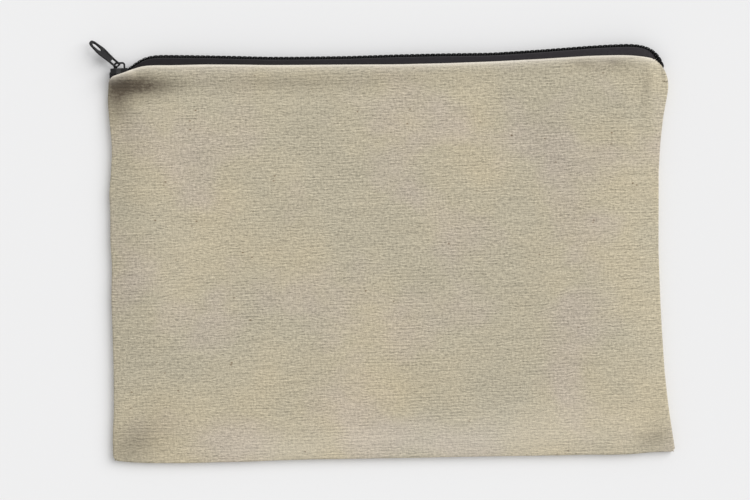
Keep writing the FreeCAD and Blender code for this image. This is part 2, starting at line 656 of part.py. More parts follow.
def slider_body():
    """One casting: two plates joined by the post that parts the coils, flanges, and the loop on top."""
    body = new_body("slider_body")
    nose = "(-dims.slider_length / 2)"
    rear = "(dims.slider_length / 2)"

    def from_nose(distance):
        """Place along the slider at a distance from its nose."""
        return "(%s + dims.%s)" % (nose, distance)

    def plate_side(nose_half, rear_half):
        """Half outline of a plate: chamfered nose, wide shoulders, narrower rear."""
        return [
            (nose, "%s - dims.nose_chamfer" % nose_half),
            (from_nose("nose_chamfer"), nose_half),
            (from_nose("wide_length"), nose_half),
            (from_nose("waist_length"), rear_half),
            (rear, rear_half),
        ]

    lower_side = plate_side("dims.lower_nose_half", "dims.lower_rear_half")
    lower = polygon(body, "lower_plate", "XZ_Plane", mirrored(lower_side), offset=LOWER_TOP)
    pad(body, lower, "dims.lower_plate_thick")
    post = polygon(body, "post", "XZ_Plane", mirrored([
        (from_nose("post_front"), "dims.post_front_half"),
        (from_nose("post_wide_from"), "dims.post_half"),
        (from_nose("post_wide_to"), "dims.post_half"),
        (from_nose("post_tail"), "dims.post_tail_half"),
    ]), offset="%s + dims.lower_plate_thick / 2" % LOWER_TOP)
    pad(body, post, "%s + %s + (dims.lower_plate_thick + dims.top_plate_thick) / 2" % (LOWER_TOP, PLATE_LOW),
        reverse=True)
    top_side = plate_side("dims.nose_half", "dims.rear_half")
    upper = polygon(body, "top_plate", "XZ_Plane", mirrored(top_side), offset="-" + PLATE_LOW)
    pad(body, upper, "dims.top_plate_thick", reverse=True)
    post_side = value("dims.post_half")
    round_edges(body, "plate_corners", "dims.plate_corner_round",
                lambda middle, run: near(abs(run.y), 1) and abs(middle.z) > post_side + SAME)
    edge = value(PLATE_TOP)
    round_edges(body, "top_rim", "dims.top_rim_round", lambda middle, run: near(middle.y, edge))
    edge_low = -value("%s + dims.lower_plate_thick" % LOWER_TOP)
    round_edges(body, "lower_rim", "dims.lower_rim_round", lambda middle, run: near(middle.y, edge_low))

    # Flanges turn down from the top plate on each side and hold the coils in.
    margin = "dims.flange_margin"
    corner = "dims.plate_corner_round"
    for name, sign in (("front_flange", ""), ("back_flange", "-")):
        wall = [(across, "%s(%s)" % (sign, along)) for across, along in (
            ("%s + %s" % (nose, margin), "dims.throat_half"),
            ("%s + %s" % (nose, margin), "dims.nose_half - dims.nose_chamfer"),
            (from_nose("nose_chamfer"), "dims.nose_half - %s" % margin),
            (from_nose("wide_length"), "dims.nose_half - %s" % margin),
            (from_nose("waist_length"), "dims.rear_half - %s" % margin),
            ("%s - %s" % (rear, corner), "dims.rear_half - %s" % margin),
            ("%s - %s" % (rear, margin), "dims.rear_half - %s" % corner),
            ("%s - %s" % (rear, margin), "dims.channel_half"),
            (from_nose("channel_from"), "dims.channel_half"),
            (from_nose("throat_length"), "dims.throat_half"),
        )]
        flange = polygon(body, name, "XZ_Plane", wall, offset="-(%s + dims.slider_play)" % HALF_TAPE)
        pad(body, flange, "dims.coil_rise + dims.top_plate_thick / 2", reverse=True)

    # The loop stands on the top plate, along the zip.
    crown = "(%s + dims.bail_opening + dims.bail_wire)" % PLATE_TOP
    arch = rectangle(body, "bail", "XY_Plane", "-dims.bail_half", "dims.bail_half",
                     "%s - dims.top_plate_thick / 2" % PLATE_TOP, crown)
    pad(body, arch, "dims.bail_wire", centred=True)
    half = value("dims.bail_half")
    shoulder = value("%s + dims.bail_opening / 2" % PLATE_TOP)
    round_edges(body, "bail_shoulders", "dims.bail_round", lambda middle, run: (
        near(abs(run.z), 1) and near(abs(middle.x), half) and middle.y > shoulder))
    hole_half = "(dims.bail_half - dims.bail_wire)"
    hole = rectangle(body, "bail_hole", "XY_Plane", "-" + hole_half, hole_half, PLATE_TOP,
                     "%s + dims.bail_opening" % PLATE_TOP)
    pocket(body, hole, "2 * dims.bail_wire", centred=True)
    inner = value(hole_half)
    round_edges(body, "bail_hole_shoulders", "dims.bail_inner_round", lambda middle, run: (
        near(abs(run.z), 1) and near(abs(middle.x), inner) and middle.y > shoulder))
    place(body, "%s * cos(dims.zip_slope)" % SLIDER_PLACE,
          "dims.zip_mid_y + %s * sin(dims.zip_slope)" % SLIDER_PLACE, CHAIN_Z, "dims.zip_slope")
    return body


def pull_tab():
    """Tab with a cross bar held by the loop.  Local X runs from the cross bar to the tip, local Y across."""
    body = new_body("pull_tab")
    thick = "dims.tab_thick"
    length = "dims.tab_length"
    outline = polygon(body, "outline", "XY_Plane", mirrored([
        ("-dims.root_reach", "dims.tab_root_half - dims.root_chamfer"),
        ("-dims.root_reach + dims.root_chamfer", "dims.tab_root_half"),
        ("dims.root_slot_end", "dims.tab_root_half"),
        ("dims.tab_belly_at", "dims.tab_belly_half"),
        ("dims.tab_belly_at + dims.tab_belly_length", "dims.tab_belly_half"),
        ("dims.tab_length - dims.tip_taper", "dims.tab_tip_half"),
        ("dims.tab_length - dims.tip_corner", "dims.tip_corner_half"),
        ("dims.tab_length", "dims.tip_end_half"),
    ]))
    pad(body, outline, thick, centred=True)
    face = value(thick + " / 2")
    round_edges(body, "rim", "dims.tab_rim_round", lambda middle, run: near(abs(middle.z), face))
    root_slot = rectangle(body, "root_slot", "XY_Plane", "-2 * dims.root_reach", "dims.root_slot_end",
                          "-dims.root_slot_half", "dims.root_slot_half")
    pocket(body, root_slot, "2 * " + thick, centred=True)
    grip_slot = polygon(body, "grip_slot", "XY_Plane", mirrored([
        ("dims.grip_slot_start", "dims.grip_slot_end_half"),
        ("dims.grip_slot_start + dims.grip_slot_round", "dims.grip_slot_half"),
        ("dims.grip_slot_end - dims.grip_slot_round", "dims.grip_slot_half"),
        ("dims.grip_slot_end", "dims.grip_slot_end_half"),
    ]))
    pocket(body, grip_slot, "2 * " + thick, centred=True)
    for side, low in (("upper", "%s / 2 - dims.recess_depth" % thick), ("lower", "-%s / 2" % thick)):
        recess = polygon(body, "%s_recess" % side, "XY_Plane", mirrored([
            ("dims.recess_start", "dims.recess_start_half"),
            ("dims.recess_end", "dims.recess_end_half"),
        ]), offset=low)
        pocket(body, recess, "dims.recess_depth", reverse=True)
    half_bar = "((dims.tab_root_half + dims.root_slot_half) / 2)"
    bar = circle(body, "cross_bar", "XZ_Plane", "0", "0", "dims.cross_bar_radius", offset="-" + half_bar)
    pad(body, bar, "2 * " + half_bar)
    hang_tab(body)
    return body


def hang_tab(body):
    """Hang the tab in the slider's loop, heading up the page and twisted about its own length."""
    lift = PLATE_TOP + " + dims.tab_bar_lift"
    place_x = value("%s + dims.tab_bar_place" % SLIDER_PLACE)
    slope = FreeCAD.Rotation(FreeCAD.Vector(0, 0, 1), value("dims.zip_slope"))
    seat = slope.multVec(FreeCAD.Vector(place_x, value(lift), 0))
    seat = seat + FreeCAD.Vector(0, value("dims.zip_mid_y"), value(CHAIN_Z))
    heading = FreeCAD.Rotation(FreeCAD.Vector(0, 0, 1), value("dims.tab_heading"))
    rise = FreeCAD.Rotation(FreeCAD.Vector(0, 1, 0), -value("dims.tab_rise"))
    on_edge = FreeCAD.Rotation(FreeCAD.Vector(1, 0, 0), 90 - value("dims.tab_twist"))
    body.Placement = FreeCAD.Placement(seat, heading * rise * on_edge)


# --- build, check and write --------------------------------------------------------------------------

front_panel()
back_panel()
side_sewing()
mouth_sewing()
for side, sign, phase in (("front", "", "0"), ("back", "-", "0.5")):
    zip_tape("%s_zip_tape" % side, sign)
    coil("%s_coil" % side, sign, phase)
    filler_cord("%s_filler_cord" % side, sign)
    coil_stitching("%s_coil_stitching" % side, sign)
slider_body()
pull_tab()
doc.recompute()

for item in doc.Objects:
    if "Invalid" in item.State or "Error" in item.State:
        raise RuntimeError("%s failed: %s" % (item.Label, item.State))

pieces = [item for item in doc.Objects if item.TypeId == "PartDesign::Body"]
for piece in pieces:
    if piece.Shape.isNull() or not piece.Shape.isValid():
        raise RuntimeError("%s has no valid shape" % piece.Label)

os.makedirs("parts", exist_ok=True)
for piece in pieces:
    piece.Shape.exportStep("parts/%s.step" % piece.Label)
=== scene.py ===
"""Flat canvas zip pouch: builds the cloth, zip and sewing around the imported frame, each with its finish."""
import math

import bpy
import numpy as np
from bpy.props import FloatProperty, FloatVectorProperty, IntProperty, PointerProperty
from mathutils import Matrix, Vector, noise


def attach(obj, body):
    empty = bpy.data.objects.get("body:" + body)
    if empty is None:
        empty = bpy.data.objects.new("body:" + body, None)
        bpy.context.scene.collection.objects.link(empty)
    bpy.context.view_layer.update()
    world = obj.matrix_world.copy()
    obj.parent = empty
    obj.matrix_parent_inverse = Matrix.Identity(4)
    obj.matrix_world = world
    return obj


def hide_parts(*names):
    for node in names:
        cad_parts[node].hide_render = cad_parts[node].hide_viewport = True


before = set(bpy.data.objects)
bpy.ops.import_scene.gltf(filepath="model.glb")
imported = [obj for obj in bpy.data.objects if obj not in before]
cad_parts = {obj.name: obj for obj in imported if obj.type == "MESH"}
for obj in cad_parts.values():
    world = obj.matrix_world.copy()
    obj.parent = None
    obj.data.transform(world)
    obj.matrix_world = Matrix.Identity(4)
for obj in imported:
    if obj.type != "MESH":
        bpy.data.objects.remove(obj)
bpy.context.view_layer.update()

bl_info = {
    "name": "Canvas Zip Pouch",
    "version": (1, 0, 0),
    "blender": (4, 5, 0),
    "location": "3D View > Sidebar > Zip Pouch",
    "description": "Builds a flat canvas zip pouch around its packed frame",
    "category": "Add Mesh",
}

MM = 0.001

# --- lines of the pouch as it lies, in millimetres: x to the right, y towards the zip ---

LEFT_EDGE = [
    (-128.5, -89.5), (-128.5, -79.7), (-127.5, -66.0), (-127.0, -45.0), (-127.0, -29.0), (-127.1, -15.0),
    (-126.3, 0.0), (-126.7, 12.0), (-126.3, 24.0), (-126.5, 34.0), (-125.5, 42.0), (-124.7, 52.0),
    (-124.7, 58.0), (-125.3, 66.0), (-125.9, 76.0), (-125.4, 82.0), (-124.8, 86.6),
]
RIGHT_EDGE = [
    (130.6, -93.4), (129.3, -83.2), (128.0, -72.0), (126.8, -57.0), (126.1, -37.0), (125.8, -23.0),
    (125.7, 0.0), (126.4, 20.0), (126.9, 36.0), (128.2, 50.0), (129.8, 61.0), (131.4, 68.4),
    (132.7, 74.5), (132.3, 79.6), (130.9, 83.0), (129.2, 85.4), (127.4, 87.6),
]
BOTTOM_EDGE = [
    (-128.5, -89.5), (-120.0, -90.6), (-112.4, -91.1), (-97.7, -91.6), (-68.2, -91.9), (-50.0, -91.7),
    (-35.1, -91.8), (1.7, -92.4), (42.2, -92.9), (79.0, -93.5), (92.0, -93.6), (101.1, -94.0),
    (112.1, -94.0), (119.5, -93.3), (130.6, -93.4),
]
MOUTH_FOLD = [
    (-124.8, 86.6), (-122.9, 87.5), (-119.6, 88.3), (-116.0, 89.4), (-113.5, 90.6), (-111.0, 91.4),
    (-108.5, 91.7), (-104.8, 91.8), (-95.6, 91.5), (-80.9, 91.4), (-66.2, 90.9), (-51.5, 90.2),
    (-36.7, 89.8), (-14.7, 89.3), (7.4, 88.7), (29.5, 88.5), (51.6, 88.6), (73.7, 89.1), (95.8, 89.8),
    (106.8, 89.8), (114.2, 89.6), (121.5, 88.8), (124.6, 88.3), (127.4, 87.6),
]
ZIP_LINE = [
    (-124.2, 87.98), (-119.8, 88.08), (-117.4, 88.2), (-115.7, 88.5), (-113.6, 90.2), (-111.4, 92.0),
    (-109.3, 93.4), (-106.5, 94.4), (-102.8, 94.85), (-95.5, 94.6), (-80.7, 93.95), (-66.0, 93.2),
    (-51.3, 92.35), (-36.6, 91.95), (-14.6, 91.55), (7.5, 91.6), (29.6, 91.4), (51.7, 91.0), (73.8, 91.75),
    (95.9, 92.75), (107.0, 93.1), (114.4, 93.1), (118.0, 92.95), (121.4, 92.2), (124.3, 91.1),
    (126.5, 89.5), (128.2, 87.0), (129.1, 84.5), (129.5, 82.6),
]

LINE_POINTS = 400  # evenly spaced points on each smoothed line


class PouchSizes(bpy.types.PropertyGroup):
    """Sizes of the cloth, the zip and the sewing."""

    ply: FloatProperty(
        name="Canvas", description="Thickness of one ply of canvas", default=0.8 * MM, unit="LENGTH")
    hem: FloatProperty(
        name="Folded edge", description="Thickness of a folded edge", default=2.0 * MM, unit="LENGTH")
    fold: FloatProperty(
        name="Fold", description="How far a folded edge swells outwards", default=0.95 * MM, unit="LENGTH")
    crown: FloatProperty(
        name="Crown", description="Height of the front at its middle", default=8.7 * MM, unit="LENGTH")
    mouth: FloatProperty(
        name="Mouth", description="Height of the front at the zip", default=7.7 * MM, unit="LENGTH")
    corner: FloatProperty(name="Corner", description="Rounding of a corner", default=2.4 * MM, unit="LENGTH")
    allowance: FloatProperty(
        name="Allowance", description="Width of a seam allowance", default=9.6 * MM, unit="LENGTH")
    wrinkle: FloatProperty(
        name="Wrinkle", description="Height of the cloth's soft waves", default=0.46 * MM, unit="LENGTH")
    cells: IntProperty(
        name="Cells", description="Cells across one canvas panel", default=190, min=40, max=260)
    chain: FloatProperty(
        name="Chain height", description="Height of the zip's middle above the table", default=3.8 * MM,
        unit="LENGTH")
    tape: FloatProperty(
        name="Tape", description="Thickness of the zip tape", default=0.5 * MM, unit="LENGTH")
    pitch: FloatProperty(
        name="Coil pitch", description="Length of one turn of the coil", default=1.2 * MM, unit="LENGTH")
    wire: FloatProperty(
        name="Coil wire", description="Thickness of the coil's nylon", default=0.46 * MM, unit="LENGTH")
    thread: FloatProperty(
        name="Thread", description="Thickness of the sewing thread", default=0.3 * MM, unit="LENGTH")
    stitch: FloatProperty(name="Stitch", description="Length of one stitch", default=2.5 * MM, unit="LENGTH")


class PouchColours(bpy.types.PropertyGroup):
    """Colours of the finishes."""

    canvas: FloatVectorProperty(
        name="Canvas", description="Natural cotton", subtype="COLOR", default=(0.495, 0.446, 0.334))
    canvas_warm: FloatVectorProperty(
        name="Warm cotton", description="Warmer patches in the canvas", subtype="COLOR",
        default=(0.515, 0.44, 0.30))
    canvas_cool: FloatVectorProperty(
        name="Cool cotton", description="Cooler patches in the canvas", subtype="COLOR",
        default=(0.50, 0.43, 0.37))
    # painted shade: dark brown mixed into the canvas where shade falls beside the slider, below the mouth's
    # fold and at the bottom corners
    soil: FloatVectorProperty(
        name="Soil", description="Handled cloth beside the slider", subtype="COLOR",
        default=(0.11, 0.088, 0.062))
    # painted highlight: pale colour mixed into the mouth's fold where it catches the light, and into paler
    # patches as painted light
    worn: FloatVectorProperty(
        name="Worn fold", description="Pale thread on the mouth's fold", subtype="COLOR",
        default=(0.86, 0.80, 0.70))
    fleck: FloatVectorProperty(
        name="Fleck", description="Bits of cotton seed", subtype="COLOR", default=(0.16, 0.10, 0.055))
    tape: FloatVectorProperty(
        name="Tape", description="Woven zip tape", subtype="COLOR", default=(0.026, 0.0228, 0.026))
    coil: FloatVectorProperty(
        name="Coil", description="Nylon coil", subtype="COLOR", default=(0.0045, 0.0045, 0.005))
    enamel: FloatVectorProperty(
        name="Enamel", description="Paint on the slider and tab", subtype="COLOR",
        default=(0.007, 0.007, 0.0075))
    thread: FloatVectorProperty(
        name="Thread", description="Natural sewing thread", subtype="COLOR", default=(0.55, 0.50, 0.40))
    floor: FloatVectorProperty(
        name="Floor", description="Plain pale floor", subtype="COLOR", default=(0.862, 0.862, 0.866))


# --- lines and heights ---

def run_along(line):
    """Distance along a line from its start to each of its points."""
    return np.concatenate([[0], np.cumsum(np.linalg.norm(np.diff(line, axis=0), axis=1))])


def smooth_line(points, passes=24):
    """Evenly spaced points, in metres, on a smooth line through a list of millimetre points."""
    given = np.array(points, float) * MM
    run = run_along(given)
    place = np.linspace(0, run[-1], LINE_POINTS)
    line = np.stack([np.interp(place, run, given[:, 0]), np.interp(place, run, given[:, 1])], axis=1)
    for _ in range(passes):
        line[1:-1] = (line[:-2] + 2 * line[1:-1] + line[2:]) / 4
    return line


def along(line, share):
    """Point at a share of a line's length, for an array of shares."""
    share = np.clip(share, 0, 1) * (len(line) - 1)
    index = np.arange(len(line))
    return np.stack([np.interp(share, index, line[:, 0]), np.interp(share, index, line[:, 1])], axis=-1)


def ease(x):
    """Smooth step of an array from 0 to 1."""
    x = np.clip(x, 0, 1)
    return x * x * (3 - 2 * x)


def rise(x, start, end):
    """Smooth step of an array from 0 at one value to 1 at another."""
    return ease((x - start) / (end - start))


def mound(x, y, cx, cy, rx, ry, turn):
    """Soft round hill of height 1 at a place in millimetres, long along a direction in degrees."""
    dx, dy = x / MM - cx, y / MM - cy
    c, s = math.cos(math.radians(turn)), math.sin(math.radians(turn))
    return np.exp(-(((dx * c + dy * s) / rx) ** 2 + ((-dx * s + dy * c) / ry) ** 2))


def stain(x, y, marks):
    """How strongly a list of marks, each a hill of its own strength, shows at a place."""
    return sum(strength * mound(x, y, cx, cy, rx, ry, turn) for cx, cy, strength, rx, ry, turn in marks)


def waves(x, y, seed, size):
    """Soft random waves between about -1 and 1, of a given size in metres."""
    out = np.zeros(np.shape(x))
    for index in np.ndindex(out.shape):
        out[index] = noise.noise(Vector((x[index] / size, y[index] / size, seed)))
    return out


class Outline:
    """The pouch's four edges as smooth lines, and the cloth stretched between them."""

    def __init__(self, mouth=MOUTH_FOLD):
        self.left = smooth_line(LEFT_EDGE)
        self.right = smooth_line(RIGHT_EDGE)
        self.bottom = smooth_line(BOTTOM_EDGE)
        self.mouth = smooth_line(mouth)

    def point(self, s, t):
        """Place on the cloth at shares s across and t up."""
        low, high = along(self.bottom, s), along(self.mouth, s)
        left, right = along(self.left, t), along(self.right, t)
        s, t = s[:, None], t[:, None]
        corners = ((1 - s) * (1 - t) * self.bottom[0] + s * (1 - t) * self.bottom[-1]
                   + (1 - s) * t * self.mouth[0] + s * t * self.mouth[-1])
        return (1 - t) * low + t * high + (1 - s) * left + s * right - corners

    def inward(self, x, y):
        """How far a place lies in from the left, right, bottom and mouth edges."""
        left = x - np.interp(y, self.left[:, 1], self.left[:, 0])
        right = np.interp(y, self.right[:, 1], self.right[:, 0]) - x
        low = y - np.interp(x, self.bottom[:, 0], self.bottom[:, 1])
        high = np.interp(x, self.mouth[:, 0], self.mouth[:, 1]) - y
        return left, right, low, high


# painted shade: darker cloth beside the slider, below the mouth's fold and at the bottom corners, where shade
# falls: place, strength, reach across and along, direction
PAINTED_SHADE_MARKS = [
    (-113, 82.8, 0.88, 14, 5.0, -6), (-121.5, 77, 0.7, 6.5, 10, 8), (-99, 83, 0.22, 12, 3.4, -4),
    (-120, -82, 0.36, 15, 9, 25), (121, -87, 0.28, 9, 4.5, 10), (-50, 82.5, 0.12, 40, 2.6, -1.5),
    (92.5, 87.0, 0.32, 6, 1.4, -2), (108, 86.8, 0.45, 4.5, 1.6, -5), (122.5, 78, 0.18, 2, 8, 0),
    (-30, 80.5, 0.10, 60, 5, 0), (100, 84.5, 0.12, 14, 3, -4),
]

# painted light: paler patches on the cloth, mostly along the bottom: place, strength, reach across and along,
# direction
PAINTED_LIGHT_PATCHES = [
    (25, -85, 0.2, 80, 10, -1), (70, -76, 0.1, 40, 12, 0), (-56, -87, 0.12, 22, 6, 0),
    (-100, 5, 0.05, 12, 30, 0),
]

# painted highlight: pale bands along the mouth's fold where it catches the light: strength and width
PAINTED_HIGHLIGHT_BANDS = [(0.62, 0.9), (0.38, 2.6)]

# hills and hollows of the front: place, height, reach across and along, direction
FRONT_DENTS = [
    (-108, 80.0, -1.7, 19, 6.0, 6), (-90, 79.5, -0.8, 24, 5, -2), (-121, 62, -0.5, 7, 20, 0),
    (-50, 79.0, -1.0, 36, 5.6, -1.5), (0, 79.5, -0.8, 34, 5.2, -0.5), (48, 81.0, -0.6, 30, 4.6, 1.5),
    (96, 82.5, -1.1, 15, 4.6, -4), (112, 80, -0.5, 9, 4, -35), (124, 70, 0.5, 3, 14, 0),
    (118, 66, -0.45, 3, 16, -3), (-112, -72, -0.8, 16, 12, 40), (118, -78, -0.9, 9, 16, -30),
    (60, -40, 0.45, 46, 30, 20), (-40, 20, 0.4, 60, 34, -10), (10, -60, -0.35, 60, 18, 5),
    (-70, -30, -0.4, 26, 40, 20), (75, 40, -0.35, 30, 36, -25), (-96, 30, -0.4, 14, 30, -10),
    (100, -10, 0.35, 12, 40, 8),
]

# how the front rises from its edges, in millimetres
SIDE_REACH = 44  # width of the slope in from a side, low on the pouch
SIDE_REACH_AT_ZIP = 14  # and up by the zip
SIDE_NARROWS = (20, 80)  # heights up the pouch between which the slope narrows
LEFT_WIDER = 14  # how much wider the left slope is by the slider
LEFT_WIDENS = (50, 80)
BOTTOM_REACH = 56
MOUTH_REACH = 34
SIDE_BEND, BOTTOM_BEND = 2.4, 1.9  # powers that shape the slopes
LIP_RISE, LIP_REACH = 0.3, 7  # the mouth's fold stands a little proud
SEAM_REACH = 9  # dents and waves die out over this distance from the seams
WAVE_SIZES = (34, 15)
CALM_SHARE, CALM_REACH = 0.35, 16  # the waves are lower beside the mouth's fold

# the fold's bulge in front of the slider's plates, in millimetres
BULGE_MIDDLE, BULGE_HALF, BULGE_SLOPE = -119.8, 8.4, 4.6
BULGE_FROM, BULGE_CLIMB, BULGE_TOP = 81.5, 5.4, 8.7

BACK_WAVE, BACK_WAVE_SIZE, BACK_REACH = 0.25, 50, 14  # the back's low waves, in millimetres


def front_height(outline, x, y, sizes):
    """Height of the front canvas over the table."""
    left, right, low, high = outline.inward(x, y)
    edge = 2 * sizes.hem
    across = np.minimum(left, right)
    side_reach = (SIDE_REACH - (SIDE_REACH - SIDE_REACH_AT_ZIP) * rise(y / MM, *SIDE_NARROWS)) * MM
    side_reach = side_reach + LEFT_WIDER * MM * rise(y / MM, *LEFT_WIDENS) * (left < right)
    sides = 1 - (1 - np.clip(across / side_reach, 0, 1)) ** SIDE_BEND
    bottom = 1 - (1 - np.clip(low / (BOTTOM_REACH * MM), 0, 1)) ** BOTTOM_BEND
    top = sizes.crown - (sizes.crown - sizes.mouth) * ease(1 - high / (MOUTH_REACH * MM))
    height = edge + (top - edge) * sides * bottom
    height = height + LIP_RISE * MM * ease(1 - high / (LIP_REACH * MM)) * sides
    inner = ease(across / (SEAM_REACH * MM)) * ease(low / (SEAM_REACH * MM))
    for cx, cy, lift, rx, ry, turn in FRONT_DENTS:
        height = height + lift * MM * mound(x, y, cx, cy, rx, ry, turn) * inner
    soft = waves(x, y, 3.1, WAVE_SIZES[0] * MM) + 0.5 * waves(x, y, 7.7, WAVE_SIZES[1] * MM)
    calm = CALM_SHARE + (1 - CALM_SHARE) * ease(high / (CALM_REACH * MM))
    height = height + sizes.wrinkle * soft * inner * calm
    beside = (ease((BULGE_HALF * MM - abs(x - BULGE_MIDDLE * MM)) / (BULGE_SLOPE * MM))
              * ease((y - BULGE_FROM * MM) / (BULGE_CLIMB * MM)))
    return np.maximum(height, height + beside * (BULGE_TOP * MM - height))


def back_height(outline, x, y, sizes):
    """Height of the back canvas's underside over the table."""
    left, right, low, high = outline.inward(x, y)
    across = np.minimum(np.minimum(left, right), np.minimum(low, high))
    soft = np.abs(waves(x, y, 1.3, BACK_WAVE_SIZE * MM))
    return BACK_WAVE * MM * soft * ease(across / (BACK_REACH * MM))


# --- modelling helpers ---

def deselect():
    """Leave nothing selected."""
    if bpy.context.object and bpy.context.object.mode != "OBJECT":
        bpy.ops.object.mode_set(mode="OBJECT")
    bpy.ops.object.select_all(action="DESELECT")


def take(obj):
    """Make one object the only selected and active one."""
    deselect()
    obj.select_set(True)
    bpy.context.view_layer.objects.active = obj


def new_grid(name, columns, rows):
    """Grid of columns by rows of points, and each point's column and row number."""
    deselect()
    bpy.ops.mesh.primitive_grid_add(x_subdivisions=columns - 1, y_subdivisions=rows - 1, size=2)
    obj = bpy.context.object
    obj.name = name
    spots = get_points(obj)
    column = np.rint((spots[:, 0] + 1) / 2 * (columns - 1)).astype(int)
    row = np.rint((spots[:, 1] + 1) / 2 * (rows - 1)).astype(int)
    return obj, column, row


def get_points(obj):
    """Points of a mesh as an array."""
    flat = np.empty(len(obj.data.vertices) * 3)
    obj.data.vertices.foreach_get("co", flat)
    return flat.reshape(-1, 3)


def set_points(obj, spots):
    """Move the points of a mesh."""
    obj.data.vertices.foreach_set("co", np.asarray(spots, float).ravel())
    obj.data.update()


def modify(obj, kind, **settings):
    """Add a modifier and apply it."""
    take(obj)
    modifier = obj.modifiers.new(kind.title(), kind)
    for key, setting in settings.items():
        setattr(modifier, key, setting)
    bpy.ops.object.modifier_apply(modifier=modifier.name)


def flip(obj):
    """Turn every face over."""
    take(obj)
    bpy.ops.object.mode_set(mode="EDIT")
    bpy.ops.mesh.select_all(action="SELECT")
    bpy.ops.mesh.flip_normals()
    bpy.ops.object.mode_set(mode="OBJECT")


def smooth(obj, angle=80):
    """Shade a piece smooth, with creases over a given angle."""
    take(obj)
    bpy.ops.object.shade_smooth_by_angle(angle=math.radians(angle))


def hand_over(obj, body, slot, material, *nodes):
    """Give a finished piece its material and its body, and hide the frame nodes that it stands for."""
    obj.data.materials.clear()
    obj.data.materials.append(material)
    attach(obj, body)
    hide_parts(*nodes)


def strand(name, runs, thickness, sides=1):
    """Round thread or wire through runs of points, made as a curve and turned into a mesh."""
    curve = bpy.data.curves.new(name, "CURVE")
    curve.dimensions = "3D"
    curve.bevel_depth = thickness / 2
    curve.bevel_resolution = sides
    curve.use_fill_caps = True
    for run in runs:
        spline = curve.splines.new("POLY")
        spline.points.add(len(run) - 1)
        spline.points.foreach_set("co", np.hstack([run, np.ones((len(run), 1))]).ravel())
    obj = bpy.data.objects.new(name, curve)
    bpy.context.scene.collection.objects.link(obj)
    take(obj)
    bpy.ops.object.convert(target="MESH")
    return bpy.context.object


# --- cloth ---

PANEL_WIDTH, PANEL_HEIGHT = 255 * MM, 181 * MM  # between the folded edges, for spacing the stations
ROWS_PER_COLUMN = 0.72
FLAP_STEPS = (1.0, 0.6, 0.25)  # stations across an allowance, as shares of it from the raw edge
BEND_STEPS = 13  # stations round a fold
NEAR_STEPS, NEAR_REACH = (0, 0.25, 0.55), 2.2  # closer stations beside a fold
TUCK = 1.3  # plies by which a turned-in end stays inside the edges beside it


def edge_stations(cells, fold, length, allowance):
    """Stations across a panel: its allowance, the fold, the visible face, and back round the other edge.

    Each is a share across, a distance in from the edge, a turn of the fold from 0 to 1 and a side.
    """
    flap = [(0, fold + allowance * f, 1.0, -1) for f in FLAP_STEPS]
    bend = [(0, fold * (1 - math.sin(math.pi * f)), f, -1) for f in np.linspace(1, 0, BEND_STEPS)[:-1]]
    near = [fold / length + f * NEAR_REACH * fold / length for f in NEAR_STEPS]
    face = [(f, 0, 0.0, 0) for f in near]
    face += [(f, 0, 0.0, 0) for f in np.linspace(near[-1] + 1 / cells, 1 - near[-1] - 1 / cells, cells)]
    face += [(1 - f, 0, 0.0, 0) for f in reversed(near)]
    mirrored = [(1, inward, turn, 1) for _, inward, turn, _ in reversed(flap + bend)]
    return flap + bend + face + mirrored


